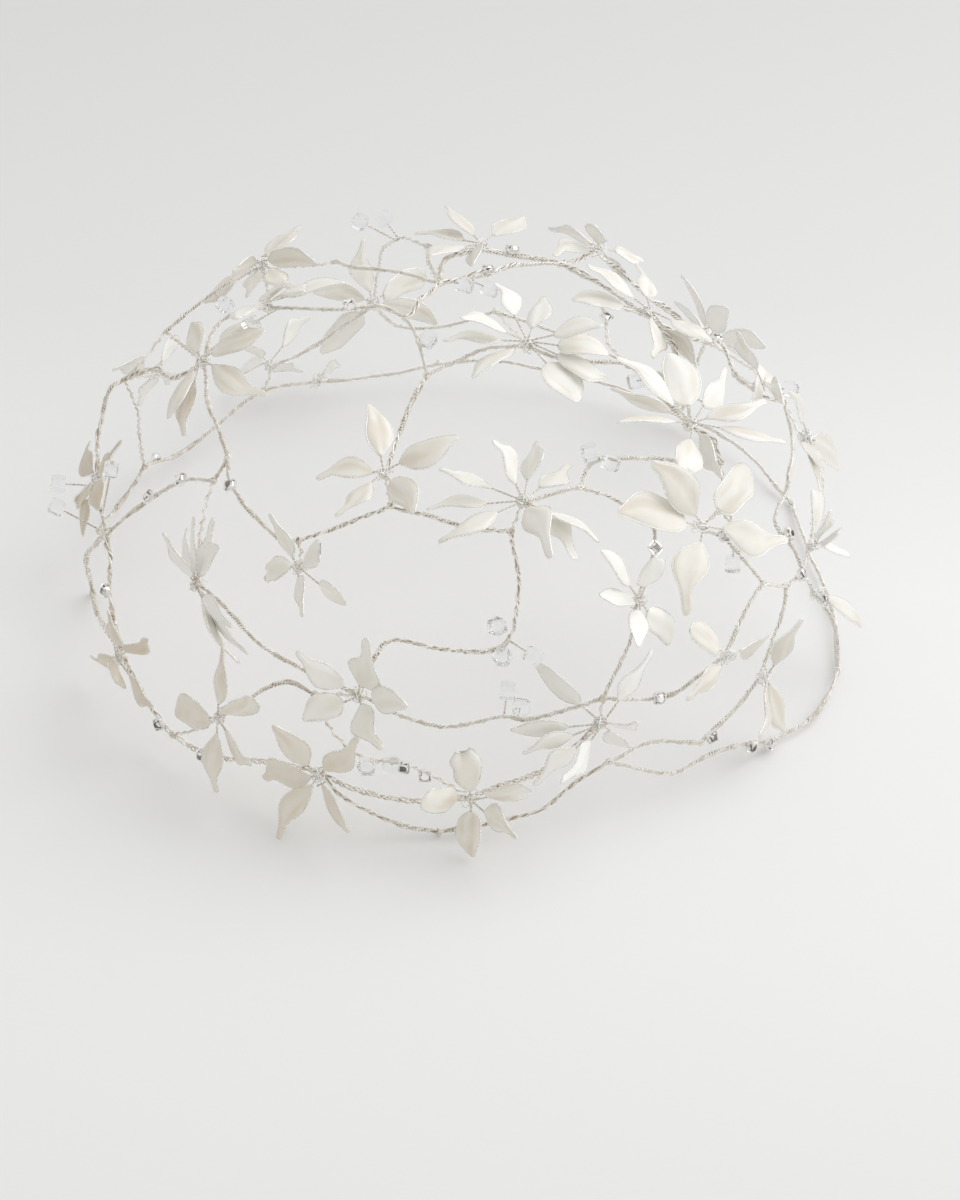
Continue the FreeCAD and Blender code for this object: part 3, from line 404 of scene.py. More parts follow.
def piece_from(name, meshes, finish, nodes=()):
    """One piece of the crown from several meshes, riding on the root body."""
    whole = bmesh.new()
    for mesh in meshes:
        whole.from_mesh(mesh)
    joined = bpy.data.meshes.new(name)
    whole.to_mesh(joined)
    whole.free()
    joined.materials.clear()
    joined.materials.append(finish)
    piece = new_object(name, joined)
    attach(piece, "root")
    if nodes:
        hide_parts(*nodes)


def wire_piece(name, lines_by_style, finish, nodes=()):
    """One piece of wire, from lines listed under their styles."""
    meshes = [wire_mesh(lines, style, finish) for style, lines in lines_by_style.items()]
    piece_from(name, meshes, finish, nodes)


# ---------------------------------------------------------------- finishes

# Petal lacquer: pairs of colours are for the front left and the back right of the crown,
# those of IVORY and MILK for the darkest and the lightest petal. The front left is painted
# darker and warmer as painted shade, the back right paler as painted light.
IVORY = ((0.78, 0.715, 0.595), (0.85, 0.805, 0.695))
MILK = ((0.86, 0.85, 0.795), (0.90, 0.90, 0.86))
CLOUD = ((0.90, 0.87, 0.805), (0.945, 0.945, 0.92))
# Tea colours darken and warm whole flowers: partly lacquer tint, partly painted shade.
TEA_AND_SHADE = ((0.66, 0.57, 0.44), (0.64, 0.62, 0.56))
# Light and dark streaks along the petals: painted sheen and painted shade.
PAINTED_SHEEN = (0.93, 0.915, 0.875)
PAINTED_SHADE_LINES = (0.76, 0.69, 0.60)
LIP = (0.91, 0.885, 0.83)
# Pale colour for whole flowers: partly lacquer tint, partly painted light.
PALE_AND_LIT = (0.95, 0.94, 0.895)

# Painted shade between the strands of a wire.
GROOVE_SHADE = (0.40, 0.335, 0.25)

# Greys of the rhinestone facets, from near black to white: painted reflections.
PAINTED_REFLECTIONS = ((0.0, (0.04, 0.035, 0.03)), (0.25, (0.24, 0.215, 0.19)),
        (0.45, (0.72, 0.69, 0.65)), (1.0, (1.0, 1.0, 0.99)))


def colour_ramp(tree, source, stops):
    """A value turned to a colour by the given (place, colour) stops."""
    ramp = add_node(tree, "ShaderNodeValToRGB")
    for element, (place, colour) in zip(ramp.color_ramp.elements, (stops[0], stops[-1])):
        element.position = place
        element.color = (*colour, 1)
    for place, colour in stops[1:-1]:
        ramp.color_ramp.elements.new(place).color = (*colour, 1)
    tree.links.new(source, ramp.inputs[0])
    return ramp.outputs[0]


def speckle_group():
    """Shader group: a cloudy mask, a fine mask and their sum, on object coordinates."""
    group = bpy.data.node_groups.new("Clouds and grain", "ShaderNodeTree")
    sockets = group.interface
    for name in ("Cloud Scale", "Grain Scale"):
        sockets.new_socket(name, in_out="INPUT", socket_type="NodeSocketFloat")
    for name in ("Clouds", "Grain", "Height"):
        sockets.new_socket(name, in_out="OUTPUT", socket_type="NodeSocketFloat")
    given = add_node(group, "NodeGroupInput").outputs
    output = add_node(group, "NodeGroupOutput")
    place = add_node(group, "ShaderNodeTexCoord")
    clouds = add_node(group, "ShaderNodeTexNoise", Detail=3.0, Roughness=0.55)
    grain = add_node(group, "ShaderNodeTexNoise", Detail=2.0, Roughness=0.6)
    link = group.links.new
    for texture, name in ((clouds, "Cloud Scale"), (grain, "Grain Scale")):
        link(place.outputs["Object"], texture.inputs["Vector"])
        link(given[name], texture.inputs["Scale"])
    small = socket_maths(group, "MULTIPLY", grain.outputs[0], 0.25)
    total = socket_maths(group, "ADD", clouds.outputs[0], small)
    link(clouds.outputs[0], output.inputs["Clouds"])
    link(grain.outputs[0], output.inputs["Grain"])
    link(total, output.inputs["Height"])
    return group


def new_finish(name, cloud_scale, grain_scale, bump, bump_height):
    """A material with the shared clouds and grain bumping its surface."""
    material = bpy.data.materials.new(name)
    material.use_nodes = True
    tree = material.node_tree
    speckle = add_node(tree, "ShaderNodeGroup", {"node_tree": SPECKLE})
    speckle.inputs["Cloud Scale"].default_value = cloud_scale
    speckle.inputs["Grain Scale"].default_value = grain_scale
    relief = add_node(tree, "ShaderNodeBump", Strength=bump, Distance=bump_height)
    tree.links.new(speckle.outputs["Height"], relief.inputs["Height"])
    tree.links.new(relief.outputs[0], tree.nodes["Principled BSDF"].inputs["Normal"])
    return material, tree, speckle.outputs


def finished(material, speckle, body, rough_low, rough_high, **plain):
    """The material with its colour, its grainy roughness and its plain values set."""
    tree = material.node_tree
    shader = tree.nodes["Principled BSDF"]
    tree.links.new(body, shader.inputs["Base Color"])
    rough = map_range(tree, speckle["Grain"], 0.3, 0.7, rough_low, rough_high)
    tree.links.new(rough, shader.inputs["Roughness"])
    for name, value in plain.items():
        shader.inputs[name.replace("_", " ")].default_value = value
    return material


def map_range(tree, source, low, high, to_low, to_high):
    """A value remapped from one range to another."""
    made = add_node(tree, "ShaderNodeMapRange", From_Min=low, From_Max=high,
                    To_Min=to_low, To_Max=to_high)
    tree.links.new(source, made.inputs["Value"])
    return made.outputs[0]


def mix_colours(tree, factor, first, second):
    """Two colours mixed by a factor; each is a socket or a plain colour."""
    made = add_node(tree, "ShaderNodeMix", {"data_type": "RGBA"})
    for socket, value in zip((made.inputs[0], made.inputs[6], made.inputs[7]),
                             (factor, first, second)):
        if isinstance(value, tuple):
            socket.default_value = (*value, 1)
        else:
            tree.links.new(value, socket)
    return made.outputs[2]


def attribute(tree, name):
    """A number stored on the mesh."""
    return add_node(tree, "ShaderNodeAttribute", {"attribute_name": name}).outputs["Fac"]


def gradient(tree, coordinate, direction, low, high):
    """How far a coordinate lies along a direction: 0 at low and 1 at high."""
    place = add_node(tree, "ShaderNodeTexCoord")
    aim = add_node(tree, "ShaderNodeVectorMath", {"operation": "DOT_PRODUCT"})
    aim.inputs[1].default_value = direction
    tree.links.new(place.outputs[coordinate], aim.inputs[0])
    return map_range(tree, aim.outputs["Value"], low, high, 0.0, 1.0)


def lit_side(tree):
    """How far a point lies to the back right of the crown, from 0 to 1: there colours are
    painted paler as painted light, towards the front left darker as painted shade.
    """
    return gradient(tree, "Object", (0.75, 0.55, 0.36), -0.08, 0.08)


def pearl_finish():
    """Opaque pearly lacquer: ivory with soft clouds, paler along the rim, with streaks of
    painted sheen and painted shade, painted shade at the front left and painted light at the
    back right.
    """
    material, tree, speckle = new_finish("Pearl lacquer", 260.0, 2600.0, 0.35, 0.16 * MM)
    tone, streak, paler = (attribute(tree, name) for name in ("tone", "streak", "paler"))
    far = lit_side(tree)
    body = mix_colours(tree, far, mix_colours(tree, tone, *IVORY),
                       mix_colours(tree, tone, *MILK))
    for source, low, high, most, colour in (
            (speckle["Clouds"], 0.38, 0.62, 0.8, mix_colours(tree, far, *CLOUD)),
            (streak, 0.45, 0.85, 0.7, PAINTED_SHEEN),
            (streak, 0.45, 0.15, 0.6, PAINTED_SHADE_LINES),
            (attribute(tree, "rim"), 0.45, 1.0, 0.75, LIP),
            (paler, 0.0, 1.0, 1.0, PALE_AND_LIT),
            (paler, 0.0, -1.0, 1.0, mix_colours(tree, far, *TEA_AND_SHADE))):
        body = mix_colours(tree, map_range(tree, source, low, high, 0.0, most), body, colour)
    return finished(material, speckle, body, 0.28, 0.44, Coat_Weight=0.25,
                    Coat_Roughness=0.30, Subsurface_Weight=0.25,
                    Subsurface_Radius=(1.0, 0.85, 0.7), Subsurface_Scale=0.8 * MM)


def silver_finish(name, dark, light, rough_low, rough_high, metal):
    """Lacquered silver wire with painted shade between its strands, and a tarnish that comes and
    goes, painted fainter at the back right of the crown as painted light.
    """
    material, tree, speckle = new_finish(name, 420.0, 3800.0, 0.3, 0.03 * MM)
    tarnish = map_range(tree, speckle["Clouds"], 0.36, 0.60, 0.0, 1.0)
    faint = tuple(0.15 * d + 0.85 * v for d, v in zip(dark, light))
    body = mix_colours(tree, lit_side(tree), mix_colours(tree, tarnish, dark, light),
                       mix_colours(tree, tarnish, faint, light))
    # Painted shade in the grooves between the strands.
    groove_shade = map_range(tree, attribute(tree, "groove"), 0.18, 0.48, 0.0, 0.72)
    body = mix_colours(tree, groove_shade, body, GROOVE_SHADE)
    return finished(material, speckle, body, rough_low, rough_high, Metallic=metal,
                    Coat_Weight=0.6, Coat_Roughness=0.08)


def rhinestone_finish():
    """Foiled glass: every facet its own grey, from near black to white, as painted reflections.
    """
    material, tree, speckle = new_finish("Rhinestone glass", 900.0, 6000.0, 0.05, 0.01 * MM)
    haze = map_range(tree, speckle["Clouds"], 0.3, 0.7, 0.0, 0.15)
    body = mix_colours(tree, haze, colour_ramp(tree, attribute(tree, "facet"), PAINTED_REFLECTIONS),
                       (0.93, 0.92, 0.88))
    return finished(material, speckle, body, 0.04, 0.10, Metallic=0.45, Coat_Weight=0.5,
                    Coat_Roughness=0.04)


def crystal_finish():
    """Clear cut glass, faintly clouded."""
    material, tree, speckle = new_finish("Clear crystal", 700.0, 5000.0, 0.04, 0.01 * MM)
    clouds = map_range(tree, speckle["Clouds"], 0.3, 0.7, 0.0, 1.0)
    body = mix_colours(tree, clouds, (0.93, 0.95, 0.96), (0.99, 0.99, 0.99))
    return finished(material, speckle, body, 0.03, 0.12, Transmission_Weight=1.0, IOR=1.25)


WIRE_TREE = wire_tree()
SPECKLE = speckle_group()
PEARL = pearl_finish()

# Wires: darkest and lightest colour, least and most roughness, how metallic.
SILVER = silver_finish("Silver wire", (0.66, 0.575, 0.455), (1.0, 0.98, 0.93),
                       0.10, 0.24, 0.38)
RIM = silver_finish("Lacquered rim", (0.76, 0.71, 0.63), (0.95, 0.94, 0.91),
                    0.20, 0.34, 0.55)
# A paler silver for the wraps in the flower centres: partly a brighter wire, partly painted
# light against the shade inside the flowers.
BRIGHT = silver_finish("Bright fine wire", (0.88, 0.85, 0.79), (1.0, 1.0, 0.98),
                       0.12, 0.28, 0.50)
SETTING = silver_finish("Silver settings", (0.66, 0.63, 0.60), (0.97, 0.96, 0.95),
                        0.10, 0.22, 1.0)

RHINESTONE = rhinestone_finish()
CRYSTAL = crystal_finish()


# ---------------------------------------------------------------- petals

PETAL_RINGS = 22
PETAL_AROUND = 18
PETAL_THICKNESS = 0.30 * MM
DENTED = ("heart", "square")


def table_value(stops, t, column):
    """Rounded interpolation in an outline table."""
    places = [stop[0] for stop in stops]
    values = [stop[column] for stop in stops]
    last = len(stops) - 1
    i = max(0, min(last - 1, sum(1 for p in places[1:-1] if p <= t)))
    span = places[i + 1] - places[i]
    f = (t - places[i]) / span

    def slope(k):
        low, high = max(0, k - 1), min(last, k + 1)
        return (values[high] - values[low]) / (places[high] - places[low])

    a, b = values[i], values[i + 1]
    return (a * (1 + 2 * f) * (1 - f) ** 2 + b * f * f * (3 - 2 * f)
            + span * (slope(i) * f * (1 - f) ** 2 + slope(i + 1) * f * f * (f - 1)))


def far_edge(outline, u, notch_side):
    """How far the far edge of a petal reaches at u across it, as part of its length."""
    if outline == "heart":
        dip = math.exp(-((u - notch_side) / 0.42) ** 2)
        return 1 - 0.17 * dip - 0.20 * abs(u) ** 4
    if outline == "square":
        return 1 - 0.12 * abs(u) ** 4 - 0.05 * u
    return 1.0


class Petal:
    """One petal, read from its solid: where it lies and how big it is."""

    def __init__(self, points, hub):
        first = max(points, key=lambda p: (p - hub).length)
        second = max(points, key=lambda p: (p - first).length)
        axis = (first - second).normalized()
        for _ in range(2):
            ordered = sorted(points, key=lambda p: p.dot(axis))
            ribs = [ordered[i:i + 4] for i in range(0, 20, 4)]
            middles = [mean(rib) for rib in ribs]
            axis = (middles[4] - middles[0]).normalized()
        self.root = middles[0]
        self.length = (middles[4] - middles[0]).length
        self.along = axis
        widest = max(ribs[1:4], key=self.width_of)
        corner = widest[0]
        partner = min(widest[1:], key=lambda p: (p - corner).length)
        others = [p for p in widest[1:] if p is not partner]
        across = mean(others) - (corner + partner) / 2
        self.half_width = across.length / 2
        lift = middles[2] - (middles[0] + middles[4]) / 2
        face = lift - axis * lift.dot(axis)
        across = (across - axis * across.dot(axis)).normalized()
        self.face = (face - across * face.dot(across)).normalized()
        self.across = axis.cross(self.face)
        self.broad = self.width_of(ribs[3]) > 0.75 * self.width_of(ribs[2])

    def width_of(self, rib):
        """Distance between the sides of a rib."""
        return max((a - rib[0]).length for a in rib)

    def at(self, t, side, rise):
        """A point on the petal: part of the length, then metres sideways and outwards."""
        return self.root + self.along * (t * self.length) + self.across * side + self.face * rise


def petal_middle(petal, stops, t, bend):
    """How far the middle of a petal stands off its chord, its tip staying on the chord."""
    shift = table_value(stops, t, 2) - t * table_value(stops, 1.0, 2)
    return petal.half_width * bend * shift


def petal_surface(petal, outline, bend, rng):
    """Rings of points along a petal, its rim and streak values, and the line of its rim."""
    stops = OUTLINES[outline]
    cup = rng.uniform(-0.15, 0.35) * MM
    roll = rng.uniform(-0.30, 0.30) * MM
    curl = rng.uniform(-0.4, 0.5) * MM
    phase_of_ripple = rng.uniform(0, math.tau)
    notch_side = rng.choice((-0.15, 0.15))
    waves = [[(rng.uniform(-0.07, 0.07), rng.uniform(4, 11), rng.uniform(0, math.tau))
              for _ in range(3)] for _ in range(2)]
    points, shades, streaks, left, right = [], [], [], [], []
    for k in range(PETAL_RINGS + 1):
        even = k / PETAL_RINGS
        t = 0.35 * even + 0.65 * (0.5 - 0.5 * math.cos(math.pi * even))
        share = table_value(stops, t, 1)
        half = petal.half_width * share
        middle = petal_middle(petal, stops, t, bend)
        bow = petal.length * (0.05 * math.sin(math.pi * t) - 0.02 * t * t)
        bow += curl * 4 * max(0.0, t - 0.55) ** 2
        rounding = math.sqrt(1 - 0.85 * (max(0.0, t - 0.92) / 0.08) ** 2)
        height = min(PETAL_THICKNESS, 0.85 * half) * rounding
        swell = [1 + sum(size * math.sin(rate * t + phase) for size, rate, phase in wave)
                 for wave in waves]

        def place(u, v):
            reach = t - t ** 3 * (1 - far_edge(outline, u, notch_side))
            lift = bow + height * v + share * (roll * u * (2 * t - 1) - cup * u * u)
            lift += 0.16 * MM * share * math.sin(3 * t + 5 * u + phase_of_ripple)
            return petal.at(reach, middle + half * u * swell[u > 0], lift)

        for j in range(PETAL_AROUND):
            turn = math.tau * j / PETAL_AROUND
            u = math.cos(turn)
            v = math.copysign(abs(math.sin(turn)) ** 0.6, math.sin(turn))
            point = place(u, v)
            points.append(point + petal.face * noise.noise(point / (2.6 * MM)) * 0.10 * MM)
            shades.append(abs(u) if 0 < k < PETAL_RINGS else 1.0)
            # Streak values: where sheen and shade are painted along the petal.
            spot = Vector((1.8 * u * share, 1.3 * t, phase_of_ripple * 5))
            streaks.append(0.5 + 0.9 * noise.noise(spot))
        left.append(place(-1, 0))
        right.append(place(1, 0))
    steps = [1 - s / 5 for s in range(1, 10)] if outline in DENTED else []
    half = petal.half_width * table_value(stops, 1.0, 1)
    tip_lift = curl * 0.81 - 0.02 * petal.length
    end = [petal.at(far_edge(outline, u, notch_side), half * u, tip_lift) for u in steps]
    return points, shades, streaks, left + end[::-1] + right[::-1]


# How much paler (up) or warmer and darker (down) than usual a flower is painted: partly its
# lacquer's own tint, partly painted light and painted shade.
LACQUER_AND_PAINTED_LIGHT = {
    "back_inner": -0.1, "back_left_inner": 0.8, "back_low": 0.9, "back_right": -0.1,
    "back_rim_leaf": 0.6, "back_top": -0.3, "crown_back": 0.25, "crown_centre": 0.5,
    "crown_left": -0.15, "crown_right": 0.1, "front_garland": 0.5, "front_left": -0.1,
    "front_right": 0.9, "front_rim_left": -0.3, "left_back": 0.85, "left_crest": -0.25,
    "left_crown": 0.55, "left_edge": -0.9, "left_rim": -0.6, "left_shoulder": -0.15,
    "left_small": 0.55, "left_spray": 0.9, "right_edge": -0.55, "right_edge_low": 0.5,
    "right_inner": -0.6, "right_large": -0.3, "right_low": -0.35, "right_rim": -0.65,
    "right_rim_leaf": -0.3, "right_small": 0.8,
}


def turned_outwards(mesh, smooth):
    """The mesh, its faces turned outwards and shaded smooth or flat."""
    shape = bmesh.new()
    shape.from_mesh(mesh)
    bmesh.ops.recalc_face_normals(shape, faces=shape.faces)
    for face in shape.faces:
        face.smooth = smooth
    shape.to_mesh(mesh)
    shape.free()
    return mesh


def petal_meshes(flower, petals, rng):
    """Mesh of all the petals of a flower, and the wire lines round their rims."""
    points, faces, edges = [], [], []
    values = {"tone": [], "rim": [], "streak": []}
    shapes = PETAL_SHAPES.get(flower, {})
    for place, petal in enumerate(petals):
        usual = "plump" if petal.broad else rng.choice(DEFAULT_OUTLINES)
        usual_bend = rng.choice((-1, -1, -1, 1)) * rng.uniform(0.6, 1.2)
        outline, bend, widening = shapes.get(place, (usual, usual_bend, 1.05))
        petal.half_width *= widening
        surface, shades, streaks, rim_line = petal_surface(petal, outline, bend, rng)
        base = len(points)
        points += surface
        edges.append(rim_line)
        values["rim"] += shades
        values["streak"] += streaks
        values["tone"] += [rng.random()] * len(surface)
        for near in range(base, base + PETAL_RINGS * PETAL_AROUND, PETAL_AROUND):
            far = near + PETAL_AROUND
            for j in range(PETAL_AROUND):
                after = (j + 1) % PETAL_AROUND
                faces.append((near + j, near + after, far + after, far + j))
        faces.append(tuple(range(base + PETAL_AROUND - 1, base - 1, -1)))
        faces.append(tuple(range(far, far + PETAL_AROUND)))
    mesh = bpy.data.meshes.new(flower)
    mesh.from_pydata(points, [], faces)
    values["paler"] = [LACQUER_AND_PAINTED_LIGHT.get(flower, 0.0)] * len(points)
    for name, numbers in values.items():
        mesh.attributes.new(name, "FLOAT", "POINT").data.foreach_set("value", numbers)
    return turned_outwards(mesh, True), edges


def quarter(point):
    """Which side of the crown a point is on."""
    turn = math.degrees(math.atan2(point.x, -point.y))
    return SIDES[int(((turn + 45) % 360) // 90)]


bindings = [prism_axis(solid) for solid in node_solids("flower_bindings")]
hubs = [binding[0] for binding in bindings]
edge_lines = {side: [] for side in SIDES}
for node in sorted(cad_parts):
    if not node.endswith("_petals"):
        continue
    flower = node[:-len("_petals")]
    rng = random.Random(SEED * 1000 + sum(map(ord, flower)))
    solids = [solid[0] for solid in node_solids(node)]
    middle = mean([mean(points) for points in solids])
    nearest = min(hubs, key=lambda hub: sum(min((p - hub).length for p in points)
                                            for points in solids))
    petals = [Petal(points, nearest) for points in solids]
    mesh, edges = petal_meshes(flower, petals, rng)
    piece_from(flower + "_flower", [mesh], PEARL, [node])
    edge_lines[quarter(middle)] += edges

for side, lines in edge_lines.items():
    wire_piece("petal_rims_" + side, {"edge": lines}, RIM)


# ---------------------------------------------------------------- wires

for side in SIDES:
    node = "petal_stems_" + side
    stems = []
    for solid in node_solids(node):
        centre, axis, half = prism_axis(solid)
        ends = [centre - axis * half, centre + axis * half]
        stems.append(smooth_line(longer(ends, 0.9 * MM), 1.5 * MM))
    wire_piece(node + "_wire", {"stem": stems}, SILVER, [node])

# Vines run on past their solids, with a hand-bent wander; the thin ones are branches.
RUN_ON = 1.3 * MM
WANDER = 0.45 * MM
WANDER_LENGTH = 9 * MM
BRANCH_RADIUS = 0.4 * MM
COIL_SPAN = (3, 9)
COIL_GAP = (4, 16)

for node in sorted(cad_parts):
    if node.endswith("_petals") or not (node.endswith("_vine") or node.startswith("rim_")):
        continue
    by_style = {}
    rng = random.Random(SEED * 77 + sum(map(ord, node)))
    for solid in node_solids(node):
        line, radius = centreline(solid, 6)
        line = stray(smooth_line(longer(line, RUN_ON), 1.6 * MM), WANDER, WANDER_LENGTH)
        if radius < BRANCH_RADIUS:
            style = "single"
        elif node in OPEN_VINES:
            style = "open"
        elif node in PAIR_VINES:
            style = "pair"
        else:
            style = "tight"
        by_style.setdefault(style, []).append(line)
        by_style.setdefault("loose", []).append(line)
        if node in THICK_VINES and style == "tight":
            alongside = [point + point.normalized() * 0.3 * MM for point in line]
            by_style.setdefault("pair", []).append(stray(alongside, 1.3 * MM, 6 * MM))
        start = rng.randint(1, 9)
        while style in ("tight", "pair") and start + 10 < len(line):
            span = rng.randint(*COIL_SPAN)
            by_style.setdefault("coil", []).append(line[start:start + span])
            start += span + rng.randint(*COIL_GAP)
    wire_piece(node + "_wire", by_style, SILVER, [node])


# Wire wound round the bindings: turns of the coil, points in a turn or loop, and the loops
# and size of the tangle on top.
WRAP_TURNS = 4
STEPS = 14
TANGLE_LOOPS = 7
TANGLE_SIZE = 2.0 * MM


def random_frame(rng):
    """A random direction and two others square to it."""
    tilt = Vector((rng.gauss(0, 1), rng.gauss(0, 1), rng.gauss(0, 1))).normalized()
    first = tilt.orthogonal().normalized()
    return tilt, first, tilt.cross(first)


def binding_wrap(centre, axis, half, radius, rng):
    """Wire wound round a binding: a short coil, then a loop thrown over it."""
    side = axis.orthogonal().normalized()
    other = axis.cross(side)
    half *= 0.6
    coil, count = [], WRAP_TURNS * STEPS
    phase = rng.uniform(0, math.tau)
    for i in range(count + 1):
        angle = phase + math.tau * i / STEPS
        reach = radius * (0.86 + 0.18 * math.sin(3.3 * angle + phase))
        height = half * (2 * abs((i / count * 1.6) % 2 - 1) - 1)
        coil.append(centre + side * (reach * math.cos(angle))
                    + other * (reach * math.sin(angle)) + axis * height)
    tilt, first, second = random_frame(rng)
    size = radius * rng.uniform(0.85, 1.15)
    shift = centre + tilt * rng.uniform(-0.3, 0.3) * radius
    loop = [shift + first * (size * math.cos(a)) + second * (size * math.sin(a))
            for a in (math.tau * 0.93 * s / STEPS for s in range(STEPS + 1))]
    return [coil, loop]


def tangle(centre, rng):
    """Fine wire wound to and fro over itself into a small knot."""
    lines = []
    for _ in range(TANGLE_LOOPS):
        tilt, first, second = random_frame(rng)
        reach = TANGLE_SIZE * rng.uniform(0.5, 1.0)
        middle = centre + first * rng.uniform(-0.35, 0.35) * TANGLE_SIZE
        start, span = rng.uniform(0, math.tau), rng.uniform(0.6, 1.3) * math.tau
        line = []
        for s in range(17):
            angle = start + span * s / 16
            line.append(middle + first * (reach * math.cos(angle))
                        + second * (reach * rng.uniform(0.7, 1.0) * math.sin(angle))
                        + tilt * (0.5 * TANGLE_SIZE * (s / 16 - 0.5)))
        lines.append(line)
    return lines


rng = random.Random(SEED)
wraps = []
for centre, axis, half in bindings:
    wraps += binding_wrap(centre, axis, half, 0.85 * MM, rng)
    wraps += tangle(centre, rng)
wire_piece("flower_binding_wraps", {"wrap": wraps}, BRIGHT, ["flower_bindings"])

ties = []
for solid in node_solids("vine_ties"):
    centre, axis, half = prism_axis(solid)
    ties += binding_wrap(centre, axis, half, 0.75 * MM, rng)
wire_piece("vine_tie_wraps", {"wrap": ties}, SILVER, ["vine_ties"])

crystal_stems = []
for solid in node_solids("crystal_stems"):
    centre, axis, half = prism_axis(solid)
    crystal_stems.append([centre - axis * half, centre, centre + axis * half])
wire_piece("crystal_stem_wires", {"stem": crystal_stems}, SILVER, ["crystal_stems"])


# ---------------------------------------------------------------- stones and crystals

# Set rhinestone, in millimetres from the foot of its setting.
CUP_SIDE = 2.9
CUP_HEIGHT = 1.15
CUP_WALL = 0.22
GIRDLE_HEIGHT = 0.85
TABLE_HEIGHT = 1.75
PRONG_WIDTH = 0.42


def cut_square(side, cut, height):
    """Corners of a square with its corners cut, at a height, in millimetres."""
    half, inner = side / 2, side / 2 - cut
    return [(x, y, height) for x, y in (
        (half, -inner), (half, inner), (inner, half), (-inner, half),
        (-half, inner), (-half, -inner), (-inner, -half), (inner, -half))]


def stacked(rings):
    """Faces between rings of eight corners, and over the two end rings."""
    faces = []
    for ring in range(0, rings * 8 - 8, 8):
        for corner in range(8):
            after = (corner + 1) % 8
            faces.append((ring + corner, ring + after, ring + 8 + after, ring + 8 + corner))
    return faces + [tuple(reversed(range(8))), tuple(range(rings * 8 - 8, rings * 8))]


def setting_shape():
    """Corners and faces of a square silver cup with four prongs bent over its corners."""
    inside = CUP_SIDE - 2 * CUP_WALL
    corners = (cut_square(CUP_SIDE - 0.5, 0.6, 0.0) + cut_square(CUP_SIDE, 0.6, 0.35)
               + cut_square(CUP_SIDE, 0.6, CUP_HEIGHT) + cut_square(inside, 0.5, CUP_HEIGHT)
               + cut_square(inside - 0.3, 0.5, 0.3))
    faces = stacked(5)
    wide = PRONG_WIDTH / 2
    for turn in (45, 135, 225, 315):
        out = Vector((math.cos(math.radians(turn)), math.sin(math.radians(turn)), 0.0))
        side = Vector((-out.y, out.x, 0.0))
        first = len(corners)
        for reach, height in ((1.72, 0.5), (1.66, 1.45), (1.10, 1.72), (0.98, 1.60),
                              (1.40, 1.30), (1.48, 0.5)):
            for sign in (-1, 1):
                spot = out * reach + side * (sign * wide)
                corners.append((spot.x, spot.y, height))
        faces += [(first + 2 * k, first + 2 * k + 1, first + (2 * k + 3) % 12,
                   first + (2 * k + 2) % 12) for k in range(6)]
        faces += [tuple(first + 2 * k for k in range(6)),
                  tuple(first + 2 * k + 1 for k in reversed(range(6)))]
    return corners, faces


def stone_shape():
    """Corners and faces of a square stone with cut corners: culet, girdle, crown, table."""
    inside = CUP_SIDE - 2 * CUP_WALL - 0.06
    corners = (cut_square(0.7, 0.2, 0.36) + cut_square(inside, 0.5, GIRDLE_HEIGHT)
               + cut_square(inside, 0.5, GIRDLE_HEIGHT + 0.18)
               + cut_square(inside * 0.80, 0.42, 0.5 * (GIRDLE_HEIGHT + TABLE_HEIGHT) + 0.2)
               + cut_square(inside * 0.52, 0.28, TABLE_HEIGHT))
    faces = []
    for face in stacked(5):
        if len(face) == 4:
            faces += [face[:3], (face[0], face[2], face[3])]
        else:
            faces.append(face)
    return corners, faces


def placed_shape(name, shape, places, rng):
    """One mesh of a shape at every place, with a grey for each of its faces that the stones show
    as painted reflections.
    """
    corners, faces = shape
    points, polygons, shades = [], [], []
    for foot, axis, turn in places:
        first = axis.orthogonal().normalized()
        second = axis.cross(first)
        across = first * math.cos(turn) + second * math.sin(turn)
        over = axis.cross(across)
        base = len(points)
        points += [foot + (across * x + over * y + axis * z) * MM for x, y, z in corners]
        polygons += [tuple(base + i for i in face) for face in faces]
        shades += [rng.choice((0.0, 0.15, 0.4, 0.6, 0.8, 1.0, 1.0)) for _ in faces]
    mesh = bpy.data.meshes.new(name)
    mesh.from_pydata(points, [], polygons)
    mesh.attributes.new("facet", "FLOAT", "FACE").data.foreach_set("value", shades)
    return turned_outwards(mesh, False)


def cup_place(solid, rng):
    """Foot, axis and turn of a rhinestone's cup, its axis pointing away from the crown."""
    points, _, faces = solid
    corners = [points[i] for i in end_ring(points, faces, 6)]
    axis = (corners[1] - corners[0]).cross(corners[2] - corners[0]).normalized()
    centre = mean(points)
    if axis.dot(centre - CROWN_MIDDLE) < 0:
        axis = -axis
    low = min((p - centre).dot(axis) for p in points)
    return centre + axis * low, axis, rng.uniform(0, math.tau)


def crystal_shape(solids, cut):
    """Clear cubes with softened edges, from the solids of the cube crystals."""
    whole = bmesh.new()
    for points, _, _ in solids:
        corners = [whole.verts.new(point) for point in points]
        bmesh.ops.convex_hull(whole, input=corners)
    bmesh.ops.dissolve_limit(whole, angle_limit=math.radians(2), verts=whole.verts,
                             edges=whole.edges)
    bmesh.ops.bevel(whole, geom=whole.edges[:], offset=cut, segments=1, affect="EDGES")
    bmesh.ops.recalc_face_normals(whole, faces=whole.faces)
    mesh = bpy.data.meshes.new("crystals")
    whole.to_mesh(mesh)
    whole.free()
    return mesh


